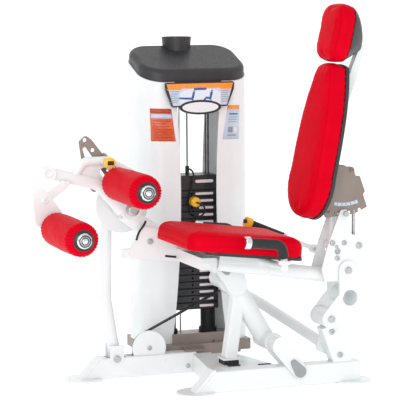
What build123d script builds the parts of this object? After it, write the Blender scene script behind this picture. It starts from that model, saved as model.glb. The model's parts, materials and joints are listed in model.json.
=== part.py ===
from build123d import *
import os
from math import atan2, cos, degrees, hypot, pi, radians, sin, tan

# Seated leg curl machine, millimetres, +Z up.
# The user sits facing -X, the weight tower stands on the +Y side and the floor is Z = 0.
# Points in comments and code are given in the machine frame, whose zero is the middle of the rear
# foot under the seat rail. The written parts are shifted so that the origin is the middle of the
# machine's footprint, on the floor.

# --- driving dimensions -------------------------------------------------------------------------
ORIGIN_X = -570.14           # machine-frame place of the written origin
ORIGIN_Y = 246.5

RAIL_WIDTH = 64.0            # floor rails
RAIL_BOTTOM = 6.0
RAIL_TOP = 86.0
NOSE_RUN = 73.0              # how far the rails' slanted front ends reach forward
TOWER_RAIL_Y = 400.0         # centre plane of the tower rail
FOOT_RADIUS = 75.0
FOOT_THICKNESS = 10.0

LINK_BASE = (-237.0, 64.0)   # X, Z of the linkage pivots
LINK_TOP = (-519.0, 487.0)
REAR_BASE = (-114.0, 261.0)
REAR_TOP = (-44.0, 446.0)
ARM_HUB = (-817.0, 685.0)
ROD_BASE = (-839.0, 81.0)
ROD_TOP = (-867.0, 700.0)
PIN_RADIUS = 9.0
RUNNING = 0.05               # radial clearance of a running fit
DIAG_Y = 130.0               # centre plane of the front link's diagonal tube
ARM_Y = 246.0                # centre plane of the exercise arm's tubes
HUB_TUBE_Y = 310.0           # centre plane of the carriage's front arm
DISC_Y = (352.0, 360.0)      # faces of the hub disc
ROD_CLEARANCE = 14.0         # radial room round the crank pin at the link rod's open pivot

ROLLER_RADIUS = 64.0
ROLLER_HALF = 180.0          # reach of the rollers' foam away from the tower
ROLLER_FAR = 194.0           # and towards it
SHIN_ROLLER = (-891.0, 792.0)
ANKLE_ROLLER = (-1131.0, 631.0)
PAD_STEP = 50.0              # hole pitch of the shin pad adjuster

TOWER_X = -456.0             # centre of the weight tower
TOWER_Y = 611.0
TOWER_HALF_X = 228.0
TOWER_HALF_Y = 138.0
TOWER_CORNER = 92.0
SHEET = 4.0
SHROUD_BOTTOM = 104.0
TRAY_BOTTOM = 60.0
TRAY_TOP = SHROUD_BOTTOM
CAP_RISE = 46.0              # height of the hood above the shrouds
SHROUD_FRONT_TOP = 1150.0
SHROUD_BACK_TOP = 1252.0
CUP_BOTTOM = 1180.0          # bottle holder at the hood's back
CUP_TOP = 1322.0
CUP_RADIUS = 48.0
REAR_OPENING_EXTRA = 40.0    # the tower's rear opening is wider than its front one by this each side

PLATE_COUNT = 17
PLATE_PITCH = 28.6
PLATE_THICK = 27.6
PLATE_HALF_X = 110.0
PLATE_HALF_Y = 58.0
HEAD_THICK = 60.0
STACK_TOP = 708.0            # top of the first plate under the head
ROD_SPACING = 85.0           # guide rods each side of the centre
GUIDE_RADIUS = 9.5
LIFTED_PLATES = 2            # plates above the selector pin
STACK_LIFT = 110.0
HEAD_BEAM_Z = (1056.0, 1082.0)

SEAT_TILT = 6.8              # degrees, rear lower
SEAT_FRONT_X = -745.0
SEAT_REAR_X = -268.0
SEAT_HALF_FRONT = 215.0
SEAT_HALF_REAR = 196.0
HANDLE_Y = 258.0
BACK_TILT = 11.9             # degrees from upright
BACK_LINK = 215.0            # length of the backrest's parallel links
BACK_PIVOT_FRONT = (-88.0, 538.0)
BACK_PIVOT_REAR = (4.0, 538.0)
LOCK_PIN = (-55.0, 664.0)
LOCK_RADIUS = 5.0            # of the backrest's locking pin
LOCK_HOLE = 7.3              # radius of the holes it enters
HOLE_STEP = 22.0

LANYARD_RADIUS = 3.5

PULLEY_RADIUS = 52.0
PULLEY_AXLE = 8.0
PULLEY_Z = 1122.0
CABLE_RADIUS = 3.0
CABLE_LINE = 48.0            # radius of the cable's centre line round the pulley
PULLEY_Y = TOWER_Y + CABLE_LINE

PIN_Z = STACK_TOP - (LIFTED_PLATES - 0.5) * PLATE_PITCH + 0.5
PIN_FRONT = TOWER_Y - PLATE_HALF_Y

BELT_PULLEY = (-702.0, 113.0)
BELT_PULLEY_RADIUS = 62.0
BELT_HALF = 10.0
BELT_THICK = 5.0
BELT_ANCHOR = (-385.0, 326.0)

BELT_RUN_RADIUS = BELT_PULLEY_RADIUS - 6 + BELT_THICK / 2

LINK_BASE_KNEE = (-311.0, 166.0)
LINK_TOP_KNEE = (-443.0, 391.0)
NEAR_BASE = (-44.0, -36.0)
NEAR_TOP = (83.0, 91.0)
FAR_TOP = (169.0, 177.0)

REAR_KNEE = (-36.0, 339.0)
LINK_PLATE_Y = (52.0, 60.0)

CHEEK_Y = (43.0, 50.0)

HANDLE_X = -388.0
LEVER_PIVOT = (-62.0, 493.0)
LEVER_END = (-349.0, 614.0)
LEVER_Y = 230.0

ARM_END = (-1146.0, 836.0)

SLIDE_ANGLE = -52.0          # degrees from X: the strap slides down towards the hub
KNOB_POINT = (-926.0, 873.0)
KNOB_BOSS_Y = 190.0          # near face of the pull knob's boss, clear of its collar when pushed in
STRAP_Y = (273.0, 280.0)

HEAD_BASE = 606.0


# --- helpers ------------------------------------------------------------------------------------
def xz_plane(y):
    """A sketch plane at this Y whose local axes are world X and Z; it extrudes towards -Y."""
    return Plane(origin=(0, y, 0), x_dir=(1, 0, 0), z_dir=(0, -1, 0))


def plate_xz(face, y0, y1):
    """A flat outline drawn in X and Z, thick from y0 to y1."""
    return extrude(xz_plane(y1) * face, amount=y1 - y0)


def outline(points):
    return make_face(Polyline(*points, close=True))


def disc(centre, radius):
    return Pos(centre[0], centre[1]) * Circle(radius)


def hull(*circles):
    """The flat shape stretched round (centre, radius) circles."""
    edges = ShapeList()
    for centre, radius in circles:
        edges += disc(centre, radius).edges()
    return make_hull(edges)


def rod_y(centre, radius, y0, y1):
    """A round bar along Y with its axis at X, Z."""
    return plate_xz(disc(centre, radius), y0, y1)


def ring_y(centre, outer, inner, y0, y1):
    return plate_xz(disc(centre, outer) - disc(centre, inner), y0, y1)


def cap_y(centre, radius, y_flat, y_top, edge):
    """A round cap on a Y axis with a rounded rim on its y_top side."""
    low, high = min(y_flat, y_top), max(y_flat, y_top)
    body = rod_y(centre, radius, low, high)
    rim = body.edges().filter_by(GeomType.CIRCLE).sort_by(Axis.Y)
    return fillet(rim[-1] if y_top > y_flat else rim[0], edge)


def rod_z(x, y, radius, z0, z1):
    return Pos(x, y, (z0 + z1) / 2) * Cylinder(radius, z1 - z0)


def rod_x(y, z, radius, x0, x1):
    return Pos((x0 + x1) / 2, y, z) * Rot(0, 90, 0) * Cylinder(radius, x1 - x0)


def block(x0, x1, y0, y1, z0, z1):
    return Pos((x0 + x1) / 2, (y0 + y1) / 2, (z0 + z1) / 2) * Box(x1 - x0, y1 - y0, z1 - z0)


def bar(start, end, radius):
    """A straight round bar between two points."""
    line = Line(start, end)
    return extrude(Plane(origin=start, z_dir=line % 0) * Circle(radius), amount=line.length)


def bent_bar(points, radius, bends):
    """A round bar along straight runs joined by arcs of the radii in bends."""
    path = FilletPolyline(*points, radius=bends)
    return sweep(Plane(origin=path @ 0, z_dir=path % 0) * Circle(radius), path=path)


def box_bar(start, end, width, depth, corner=6.0):
    """A rectangular bar from start to end; width lies along Y."""
    line = Line(start, end)
    profile = RectangleRounded(width, depth, corner)
    return extrude(Plane(origin=start, x_dir=(0, 1, 0), z_dir=line % 0) * profile, amount=line.length)


def bolt_y(centre, y_face, out, radius=9.0, height=7.0, shank=10.0):
    """A button-head bolt whose head stands on y_face towards out (+1 or -1), with its shank behind."""
    head = cap_y(centre, radius, y_face, y_face + out * height, height * 0.55)
    stem = rod_y(centre, radius * 0.5, min(y_face, y_face - out * shank), max(y_face, y_face - out * shank))
    socket = rod_y(centre, radius * 0.36, y_face + out * height * 0.4 - 6, y_face + out * height * 0.4 + 6)
    recess = Pos(0, out * 6, 0) * socket
    return (head + stem) - recess


def group(*solids):
    """Separate solids kept side by side in one node."""
    flat = []
    for item in solids:
        flat += list(item.solids())
    return Compound(children=flat)


def along(start, end, distance):
    length = hypot(end[0] - start[0], end[1] - start[1])
    k = distance / length
    return (start[0] + (end[0] - start[0]) * k, start[1] + (end[1] - start[1]) * k)


def save(name, shape):
    export_step(Pos(-ORIGIN_X, -ORIGIN_Y, 0) * shape, f"parts/{name}.step")


# --- base frame ---------------------------------------------------------------------------------
def foot_disc(x, y):
    pad = Pos(x, y, FOOT_THICKNESS / 2) * Cylinder(FOOT_RADIUS, FOOT_THICKNESS)
    return fillet(pad.edges().group_by(Axis.Z)[-1], 4)


def rail(x0, x1, y):
    """A floor rail whose front end is cut on a slant and closed by a rounded plate down to its foot."""
    slope = NOSE_RUN / (RAIL_TOP - RAIL_BOTTOM)
    face = outline([(x0 - NOSE_RUN, RAIL_BOTTOM), (x1, RAIL_BOTTOM), (x1, RAIL_TOP), (x0, RAIL_TOP)])
    body = plate_xz(face, y - RAIL_WIDTH / 2, y + RAIL_WIDTH / 2)
    body = fillet(body.edges().filter_by(Axis.X), 7)
    top, low = (x0 - 4 + 6 * slope, RAIL_TOP + 6), (x0 - NOSE_RUN, RAIL_BOTTOM)
    nose = outline([(x0 + 2, RAIL_TOP - 4), top, (top[0] - 11, top[1] - 1), (low[0] - 14, low[1]), low])
    return body + plate_xz(nose, y - 30, y + 30)


def seat_rail():
    body = rail(-575, 20, 0)
    body += foot_disc(-645, 0) + foot_disc(0, 0)
    return body - rod_y(LINK_BASE, PIN_RADIUS, -60, 60)


def tower_rail():
    y = TOWER_RAIL_Y
    body = rail(-902, -509, y) + foot_disc(-967, y)
    ear_top = block(ROD_BASE[0] - 28, ROD_BASE[0] + 28, y - 36, y + 36, ROD_BASE[1], ROD_BASE[1] + 53)
    body += rod_y(ROD_BASE, 28, y - 36, y + 36) + ear_top
    body -= block(ROD_BASE[0] - 40, ROD_BASE[0] + 40, y - 27, y + 27, 34, 160)
    body -= block(-790, -640, y - 14.5, y + 14.5, RAIL_BOTTOM + 20, RAIL_TOP + 20)
    return body - rod_y(ROD_BASE, PIN_RADIUS, y - 60, y + 60)


def cross_member():
    """Joins the two rails, with the deck plate that the front link's stop rests on."""
    face = Polyline((-575, 32), (-524, 368), (-448, 368), (-492, 32), close=True)
    beam = extrude(Pos(0, 0, RAIL_BOTTOM + 4) * make_face(face), amount=RAIL_TOP - RAIL_BOTTOM - 10)
    deck = Polyline((-492, 32), (-452, 340), (-380, 340), (-306, 60), (-306, 32), close=True)
    plate = extrude(Pos(0, 0, RAIL_TOP - 12) * make_face(deck), amount=6)
    return beam + plate


def rear_post():
    """The leaning post at the back of the seat rail, with the rear link's sleeve on top."""
    foot = (-40.0, RAIL_TOP - 30)
    top = (REAR_BASE[0] + 10, REAR_BASE[1] - 30)
    body = box_bar((foot[0], 0, foot[1]), (top[0], 0, top[1]), 58, 76)
    body -= block(-200, 200, -60, 60, -40, RAIL_TOP)
    body += rod_y(REAR_BASE, 36, -50, 50)
    return body - rod_y(REAR_BASE, PIN_RADIUS, -60, 60)


def brace_tube():
    """Ties the rear post to the side of the weight tower."""
    wall = TOWER_X + TOWER_HALF_X
    body = bent_bar([(-108, 32, 150), (-188, 440, 240), (wall - 10, 612, 280)], 22, [200])
    body -= block(wall - 60, wall + 8, 400, 700, 150, 400)
    flange = plate_xz(hull(((-98, 206), 20), ((-64, 114), 20), ((-118, 140), 20)), 29.4, 37)
    return body + flange + block(wall + 0.2, wall + 8.2, 556, 656, 232, 322)


# --- weight tower -------------------------------------------------------------------------------
def tower_plan(inset):
    """The tower's rounded outline, drawn in X and Y."""
    return Pos(TOWER_X, TOWER_Y) * RectangleRounded(
        2 * (TOWER_HALF_X - inset), 2 * (TOWER_HALF_Y - inset), TOWER_CORNER - inset)


def above_slope(z_front, z_back, reach=900):
    """Everything above the tower's slanted top, which rises from front to back."""
    y0, y1 = TOWER_Y - TOWER_HALF_Y, TOWER_Y + TOWER_HALF_Y
    rise = (z_back - z_front) / (y1 - y0)
    low, high = y0 - 100, y1 + 100
    side = Polyline((low, z_front + rise * (low - y0)), (high, z_front + rise * (high - y0)),
                    (high, z_front + reach), (low, z_front + reach), close=True)
    face = Plane(origin=(TOWER_X - 400, 0, 0), x_dir=(0, 1, 0), z_dir=(1, 0, 0)) * make_face(side)
    return extrude(face, amount=800)


def hourglass(extra, reach):
    """A waisted opening cut forward from behind the tower, extra mm wider at each side."""
    waist, bottom, top = 76 + extra, 118 + extra, 112 + extra
    z_mid, z0, z1 = 640, SHROUD_BOTTOM - 10, SHROUD_BACK_TOP + 10
    left = ThreePointArc((-bottom, z0), (-waist, z_mid), (-top, z1))
    right = ThreePointArc((top, z1), (waist, z_mid), (bottom, z0))
    face = make_face([left, Line((-top, z1), (top, z1)), right, Line((bottom, z0), (-bottom, z0))])
    return extrude(xz_plane(TOWER_Y + 300) * Pos(TOWER_X, 0) * face, amount=reach)


def shrouds():
    """The pair of C-shaped sheet shrouds."""
    shell = extrude(Pos(0, 0, SHROUD_BOTTOM) * (tower_plan(0) - tower_plan(SHEET)),
                    amount=SHROUD_BACK_TOP + 40 - SHROUD_BOTTOM)
    shell -= above_slope(SHROUD_FRONT_TOP, SHROUD_BACK_TOP)
    shell -= hourglass(0, 600)
    shell -= hourglass(REAR_OPENING_EXTRA, 300)
    pieces = shell.solids().sort_by(Axis.X)
    return pieces[0], pieces[-1]


def hood(inset, lift):
    """The space inside the tower's outline up to a slanted top lifted above the shrouds."""
    body = extrude(Pos(0, 0, 1000) * tower_plan(inset), amount=500)
    return body - above_slope(SHROUD_FRONT_TOP + lift, SHROUD_BACK_TOP + lift)


def tower_cap():
    """The charcoal hood on top of the tower, hollow below, with the bottle holder at its back."""
    outer = hood(SHEET + 0.5, CAP_RISE)
    top_rim = outer.faces().sort_by(Axis.Z)[-1].edges()
    outer = fillet(top_rim, 22)
    shell = outer - hood(SHEET + 0.5, -26) - hood(SHEET + 8, CAP_RISE - 8)
    cup_x, cup_y = TOWER_X - 6, TOWER_Y + TOWER_HALF_Y - 34
    height = CUP_TOP - CUP_BOTTOM
    middle = Pos(cup_x, cup_y, (CUP_TOP + CUP_BOTTOM) / 2)
    cup = middle * Cone(CUP_RADIUS, CUP_RADIUS + 12, height)
    well = middle * Pos(0, 0, 7) * Cone(CUP_RADIUS - 5, CUP_RADIUS + 5, height - 10)
    return (shell - middle * Cone(CUP_RADIUS - 1, CUP_RADIUS + 11, height)) + (cup - well)


def placard():
    """The instruction board under the hood's front lip, with a lens-shaped lower edge."""
    y = TOWER_Y - TOWER_HALF_Y - 14
    board = outline([(-147, 1150), (147, 1150), (143, 1118), (116, 1052), (-116, 1052), (-143, 1118)])
    board = fillet(board.vertices(), 9)
    lens_width, lens_height = 160, 46
    radius = (lens_width ** 2 / 4 + lens_height ** 2 / 4) / lens_height
    lens = (Pos(0, 1049 - radius + lens_height / 2) * Circle(radius)) & (
        Pos(0, 1049 + radius - lens_height / 2) * Circle(radius))
    sheet = plate_xz(Pos(TOWER_X, 0) * (board + lens), y - 5, y + 3)
    reach = TOWER_Y - TOWER_HALF_Y + SHEET + 0.4
    tabs = block(TOWER_X - 88, TOWER_X - 60, y + 3, reach, 1126, 1146)
    tabs += block(TOWER_X + 60, TOWER_X + 88, y + 3, reach, 1126, 1146)
    return sheet + tabs


def tower_base():
    """The tray that carries the rods, bumpers and shrouds, on two feet, with its corner plate."""
    x0, x1 = TOWER_X - TOWER_HALF_X + 8, TOWER_X + TOWER_HALF_X - 8
    y0, y1 = TOWER_Y - TOWER_HALF_Y - 12, TOWER_Y + TOWER_HALF_Y - 6
    rail_side = TOWER_RAIL_Y + RAIL_WIDTH / 2
    body = block(x0 + 60, x1 - 60, rail_side, y1, TRAY_BOTTOM, TRAY_TOP)
    body += block(x0, x1, y0 + 14, y1, TRAY_BOTTOM, TRAY_TOP)
    lip = block(TOWER_X - 118, TOWER_X + 118, y0, y0 + 10, 88, 142)
    body += lip - rod_y((TOWER_X + 56, 104), 6, y0 - 20, y0 + 30)
    for x in (x0 + 64, x1 - 64):
        body += foot_disc(x, y1 - 60) + block(x - 30, x + 30, y1 - 90, y1 - 30, 5, TRAY_BOTTOM)
    for side in (-1, 1):
        body -= rod_z(TOWER_X + side * ROD_SPACING, TOWER_Y, GUIDE_RADIUS, 70, 130)
    corner = make_face(Polyline((-552, 372), (-470, 372), (-452, 452), (-540, 452), close=True))
    return body + extrude(Pos(0, 0, RAIL_TOP) * corner, amount=8)


def guide_rods():
    rods = [rod_z(TOWER_X + side * ROD_SPACING, TOWER_Y, GUIDE_RADIUS, 70, HEAD_BEAM_Z[1])
            for side in (-1, 1)]
    return group(*rods)


def rod_bumpers():
    """A stepped rubber bumper round the foot of each guide rod."""
    rings = []
    bottom = TRAY_TOP
    top = STACK_TOP - PLATE_COUNT * PLATE_PITCH - 0.5
    for side in (-1, 1):
        x = TOWER_X + side * ROD_SPACING
        ring = rod_z(x, TOWER_Y, 37, bottom, bottom + 34) + rod_z(x, TOWER_Y, 30, bottom + 34, top)
        rings.append(ring - rod_z(x, TOWER_Y, GUIDE_RADIUS, bottom - 5, top + 5))
    return group(*rings)


def head_frame():
    """The beam that ties the rod tops together, with the fork and axle of the head pulley."""
    low, high = HEAD_BEAM_Z
    body = block(TOWER_X - 176, TOWER_X + 176, TOWER_Y - 32, TOWER_Y + 32, low, high)
    body -= block(TOWER_X - 15, TOWER_X + 15, TOWER_Y - 26, TOWER_Y + 40, low - 5, high + 5)
    for side in (-1, 1):
        body -= rod_z(TOWER_X + side * ROD_SPACING, TOWER_Y, GUIDE_RADIUS, low - 5, high + 5)
        x0 = TOWER_X + side * 19 - 3
        body += block(x0, x0 + 6, TOWER_Y - 26, PULLEY_Y + 30, low, PULLEY_Z + 24)
    return body + rod_x(PULLEY_Y, PULLEY_Z, PULLEY_AXLE, TOWER_X - 27, TOWER_X + 27)


def head_pulley():
    """The grooved pulley that turns the cable round at the top of the tower."""
    wheel = rod_x(PULLEY_Y, PULLEY_Z, PULLEY_RADIUS, TOWER_X - 11, TOWER_X + 11)
    groove = rod_x(PULLEY_Y, PULLEY_Z, PULLEY_RADIUS + 5, TOWER_X - 4.5, TOWER_X + 4.5)
    groove -= rod_x(PULLEY_Y, PULLEY_Z, CABLE_LINE - CABLE_RADIUS - 0.3, TOWER_X - 6, TOWER_X + 6)
    return wheel - groove - rod_x(PULLEY_Y, PULLEY_Z, PULLEY_AXLE + RUNNING, TOWER_X - 30, TOWER_X + 30)


# --- weight stack -------------------------------------------------------------------------------
def stack_plate(top, thick=PLATE_THICK, half_y=PLATE_HALF_Y):
    body = block(TOWER_X - PLATE_HALF_X, TOWER_X + PLATE_HALF_X, TOWER_Y - half_y, TOWER_Y + half_y,
                 top - thick, top)
    body = chamfer(body.edges().filter_by(Axis.X), 2.5)
    for side in (-1, 1):
        body -= rod_z(TOWER_X + side * ROD_SPACING, TOWER_Y, GUIDE_RADIUS + 0.08, top - thick - 5, top + 5)
    return body - rod_z(TOWER_X, TOWER_Y, 13.0, top - thick - 5, top + 5)


def pin_hole(z, radius):
    return rod_y((TOWER_X, z), radius, TOWER_Y - PLATE_HALF_Y - 10, TOWER_Y - 4)


def stack_head():
    """The head plate with the selector stem that hangs down through the stack."""
    bottom = STACK_TOP + 0.8
    body = stack_plate(bottom + HEAD_THICK, HEAD_THICK) + rod_z(
        TOWER_X, TOWER_Y, 13.0, bottom, bottom + HEAD_THICK)
    stem_bottom = STACK_TOP - 8 * PLATE_PITCH
    stem = rod_z(TOWER_X, TOWER_Y, 11.0, stem_bottom, bottom + 5)
    nut = rod_z(TOWER_X, TOWER_Y, 8.0, bottom + HEAD_THICK, bottom + HEAD_THICK + 34)
    body += stem + nut
    for count in range(8):
        body -= pin_hole(STACK_TOP - (count + 0.5) * PLATE_PITCH + 0.5, 4.6)
    body -= pin_hole(bottom + HEAD_THICK / 2, 4.6)
    return body - rod_z(TOWER_X, TOWER_Y, CABLE_RADIUS, bottom + HEAD_THICK + 10, bottom + HEAD_THICK + 60)


def stack_plates(first, last):
    plates = []
    for index in range(first, last):
        top = STACK_TOP - index * PLATE_PITCH
        plate = stack_plate(top)
        plates.append(plate - pin_hole(top - PLATE_PITCH / 2 + 0.5, 4.6))
    return group(*plates)


def selector_pin():
    """The steel pin with its yellow knob and the lanyard's ferrule."""
    centre = (TOWER_X, PIN_Z)
    body = rod_y(centre, 4.52, PIN_FRONT - 30, TOWER_Y - 6) + rod_y(centre, 11, PIN_FRONT - 20, PIN_FRONT - 1)
    return body + cap_y(centre, 20.5, PIN_FRONT - 18, PIN_FRONT - 52, 11) + rod_y(
        centre, 6, PIN_FRONT - 58, PIN_FRONT - 51)


# The lanyard hangs from the cable's nut, over the head plate's front edge and behind the knob's
# left side, to the ferrule in the middle of the knob. Its points are X, Y, Z.
LANYARD_ROUTE = [
    (-456.0, 602.6, 791.0),
    (-455.0, 571.0, 795.0),
    (-452.0, 541.0, 776.0),
    (-458.0, 538.0, 742.0),
    (-466.0, 543.0, 708.0),
    (-473.0, 544.0, 673.0),
    (-471.0, 543.0, 640.0),
    (-460.0, 534.0, 612.0),
    (-438.0, 519.0, 604.0),
    (-424.0, 500.0, 618.0),
    (-427.0, 481.0, 642.0),
    (-442.0, 467.0, 659.0),
    (-456.0, 477.0, 665.6),
    (-456.0, 494.7, 665.6),
]


def bend_radii(points):
    """The largest comfortable arc at each inner point: 0.45 of the shorter run."""
    radii = []
    for a, b, c in zip(points, points[1:], points[2:]):
        before, after = Vector(*b) - Vector(*a), Vector(*c) - Vector(*b)
        turn = radians(before.get_angle(after))
        radii.append(0.45 * min(before.length, after.length) / tan(turn / 2))
    return radii


def selector_lanyard():
    radii = bend_radii(LANYARD_ROUTE)
    print("lanyard arc radii:", [round(r, 1) for r in radii])
    return bent_bar(LANYARD_ROUTE, LANYARD_RADIUS, radii)


def lift_cable():
    top = STACK_TOP + 0.8 + HEAD_THICK
    return rod_z(TOWER_X, TOWER_Y, CABLE_RADIUS, top + 10, PULLEY_Z)


def tower_cable():
    """Over the head pulley and down behind the stack into the tray."""
    r = CABLE_LINE
    diagonal = r * cos(pi / 4)
    side = Plane(origin=(TOWER_X, 0, 0), x_dir=(0, 1, 0), z_dir=(1, 0, 0))
    over = ThreePointArc((PULLEY_Y - r, PULLEY_Z), (PULLEY_Y - diagonal, PULLEY_Z + diagonal),
                         (PULLEY_Y, PULLEY_Z + r))
    back = ThreePointArc((PULLEY_Y, PULLEY_Z + r), (PULLEY_Y + diagonal, PULLEY_Z + diagonal),
                         (PULLEY_Y + r, PULLEY_Z))
    down = Line((PULLEY_Y + r, PULLEY_Z), (PULLEY_Y + r, TRAY_TOP))
    path = side * Wire([over, back, down])
    return sweep(Plane(origin=path @ 0, z_dir=path % 0) * Circle(CABLE_RADIUS), path=path)


# --- belt and base pulley -----------------------------------------------------------------------


def belt_pulley_wheel():
    y = TOWER_RAIL_Y
    wheel = rod_y(BELT_PULLEY, BELT_PULLEY_RADIUS - 6, y - 11, y + 11)
    wheel += ring_y(BELT_PULLEY, BELT_PULLEY_RADIUS - 2, 40, y - 13, y - 11.2)
    return wheel - rod_y(BELT_PULLEY, 8 + RUNNING, y - 20, y + 20)


def belt_pulley_guard():
    """The fixed guard disc in front of the pulley, with the axle and its far bracket."""
    y = TOWER_RAIL_Y
    front = cap_y(BELT_PULLEY, BELT_PULLEY_RADIUS + 7, y - 16, y - 24, 3)
    back = rod_y(BELT_PULLEY, 28, y + 15, y + 21) + block(
        BELT_PULLEY[0] - 28, BELT_PULLEY[0] + 28, y + 15, y + 21, RAIL_TOP, BELT_PULLEY[1])
    back -= block(-900, -600, y, y + 40, 0, RAIL_TOP)
    axle = rod_y(BELT_PULLEY, 8, y - 20, y + 18)
    front -= block(-900, -600, y - 30, y, 0, RAIL_TOP)
    return front + axle + back


def belt_tangent():
    """Where the belt leaves the pulley towards its anchor, and the belt's direction."""
    dx, dz = BELT_ANCHOR[0] - BELT_PULLEY[0], BELT_ANCHOR[1] - BELT_PULLEY[1]
    reach = hypot(dx, dz)
    turn = degrees(atan2((reach ** 2 - BELT_RUN_RADIUS ** 2) ** 0.5, BELT_RUN_RADIUS))
    angle = degrees(atan2(dz, dx)) + turn
    point = (BELT_PULLEY[0] + BELT_RUN_RADIUS * cos(radians(angle)),
             BELT_PULLEY[1] + BELT_RUN_RADIUS * sin(radians(angle)))
    return point, angle


def drive_belt():
    """The belt's fixed stretch: round the pulley's left side and down into the rail."""
    start, angle = belt_tangent()
    mid = (angle + 180) / 2
    arc = ThreePointArc(start, (BELT_PULLEY[0] + BELT_RUN_RADIUS * cos(radians(mid)),
                                BELT_PULLEY[1] + BELT_RUN_RADIUS * sin(radians(mid))),
                        (BELT_PULLEY[0] - BELT_RUN_RADIUS, BELT_PULLEY[1]))
    down = Line((BELT_PULLEY[0] - BELT_RUN_RADIUS, BELT_PULLEY[1]),
                (BELT_PULLEY[0] - BELT_RUN_RADIUS, RAIL_BOTTOM + 22))
    path = xz_plane(TOWER_RAIL_Y) * Wire([arc, down])
    profile = Plane(origin=path @ 0, x_dir=(0, 1, 0), z_dir=path % 0) * Rectangle(2 * BELT_HALF, BELT_THICK)
    return sweep(profile, path=path)


def belt_run():
    """The free stretch of belt from the pulley to the front link's bar."""
    start, _ = belt_tangent()
    y = TOWER_RAIL_Y
    a = (start[0], y, start[1])
    b_xz = along(start, BELT_ANCHOR, hypot(BELT_ANCHOR[0] - start[0], BELT_ANCHOR[1] - start[1]) - 13.5)
    line = Line(a, (b_xz[0], y, b_xz[1]))
    profile = Plane(origin=a, x_dir=(0, 1, 0), z_dir=line % 0) * Rectangle(2 * BELT_HALF, BELT_THICK)
    return extrude(profile, amount=line.length - 0.5)


def base_pins():
    """Pivot pins and bolts that stay in the base frame."""
    y = TOWER_RAIL_Y
    parts = [
        rod_y(LINK_BASE, PIN_RADIUS, -43.6, 43.6),
        rod_y(REAR_BASE, PIN_RADIUS, -62, 62),
        cap_y(REAR_BASE, 13, -62, -69, 3),
        cap_y(REAR_BASE, 13, 62, 69, 3),
        rod_y(ROD_BASE, PIN_RADIUS, y - 38, y + 38),
        cap_y(ROD_BASE, 14, y - 38, y - 45, 3),
        cap_y(ROD_BASE, 14, y + 38, y + 45, 3),
        bolt_y(BELT_PULLEY, y - 24, -1),
        bolt_y((-545, 32), y - RAIL_WIDTH / 2, -1),
        bolt_y((-98, 206), -29, -1, 11),
        bolt_y((-64, 114), -29, -1, 11),
        bolt_y((-98, 206), 37, 1, 11, shank=7),
        bolt_y((-64, 114), 37, 1, 11, shank=7),
    ]
    return group(*parts)


def stop_pads():
    """Two rubber strips on the deck plate."""
    z = RAIL_TOP - 6
    pads = []
    for x, y in ((-462, 76), (-345, 52)):
        pads.append(block(x - 24, x + 24, y - 9, y + 9, z, z + 4))
    return group(*pads)


# --- front link ---------------------------------------------------------------------------------


def front_link_frame():
    """The swinging front link: diagonal tube, cross tubes, pivot plates and stop leg."""
    lower = hull((LINK_BASE, 29), (LINK_BASE_KNEE, 38))
    upper = hull((LINK_TOP, 30), (LINK_TOP_KNEE, 42))
    body = plate_xz(lower, *NEAR_BASE) + plate_xz(lower, 36, 44)
    body += plate_xz(upper, *NEAR_TOP) + plate_xz(upper, *FAR_TOP)
    body += rod_y(LINK_BASE_KNEE, 35, -40, 176)
    body += rod_y(LINK_TOP_KNEE, 36, 87, 300)
    start, end = LINK_BASE_KNEE, LINK_TOP_KNEE
    body += bar((start[0], DIAG_Y, start[1]), (end[0], DIAG_Y, end[1]), 38)
    body += box_bar((-426, DIAG_Y, 338), (-461, DIAG_Y, 104), 50, 50)
    body += block(-495, -427, DIAG_Y - 34, DIAG_Y + 34, 98, 106)
    body += rod_y(BELT_ANCHOR, 11, 150, 414)
    body += rod_y(BELT_ANCHOR, 24, 160, 172)
    body -= rod_y(LINK_BASE, PIN_RADIUS + RUNNING, -80, 80)
    return body - rod_y(LINK_TOP, PIN_RADIUS + RUNNING, 60, 200)


def pill_cover(big, small, y0, y1):
    body = plate_xz(hull((big, 23), (small, 13)), y0, y1)
    edges = body.faces().sort_by(Axis.Y)[0 if y0 < 0 or y1 < 100 else -1].edges()
    return fillet(edges, 3)


def front_link_covers():
    """The grey pill-shaped covers over the pivot bearings."""
    lower_small = along(LINK_BASE, LINK_BASE_KNEE, 44)
    upper_small = along(LINK_TOP, LINK_TOP_KNEE, 52)
    covers = [
        pill_cover(LINK_BASE, lower_small, NEAR_BASE[0] - 9, NEAR_BASE[0]),
        pill_cover(LINK_TOP, upper_small, NEAR_TOP[0] - 9, NEAR_TOP[0]),
    ]
    return group(*covers)


def stop_foot():
    """The rubber foot under the stop leg."""
    return block(-492, -432, DIAG_Y - 30, DIAG_Y + 30, RAIL_TOP - 5.7, 98)


# --- rear link ----------------------------------------------------------------------------------


def rear_link():
    """Two dog-leg plates and the open tube between them."""
    face = hull((REAR_TOP, 37), (REAR_KNEE, 44)) + hull((REAR_KNEE, 44), (REAR_BASE, 37))
    body = plate_xz(face, *LINK_PLATE_Y) + plate_xz(face, -LINK_PLATE_Y[1], -LINK_PLATE_Y[0])
    body += rod_y(REAR_KNEE, 35, -56, 56)
    body -= rod_y(REAR_KNEE, 30, -80, 80)
    body -= rod_y(REAR_BASE, PIN_RADIUS + RUNNING, -80, 80)
    return body - rod_y(REAR_TOP, PIN_RADIUS + 1.5, -80, 80)


# --- carriage -----------------------------------------------------------------------------------


def cheek_face():
    points = [(-138, 405), (-150, 455), (-124, 545), (-84, 650), (-70, 678), (-50, 680), (-38, 662),
              (-26, 585), (22, 560), (26, 520), (6, 470), (-12, 452), (-44, 405)]
    return outline(points) + disc(REAR_TOP, 35) + disc(BACK_PIVOT_REAR, 20)


def tilted_block(x0, x1, y0, y1, below, thick):
    """A block lying along the seat's tilted underside."""
    body = block(0, x1 - x0, y0, y1, 0, thick)
    return Pos(x0, 0, seat_line(x0) + below) * Rot(0, SEAT_TILT, 0) * body


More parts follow.
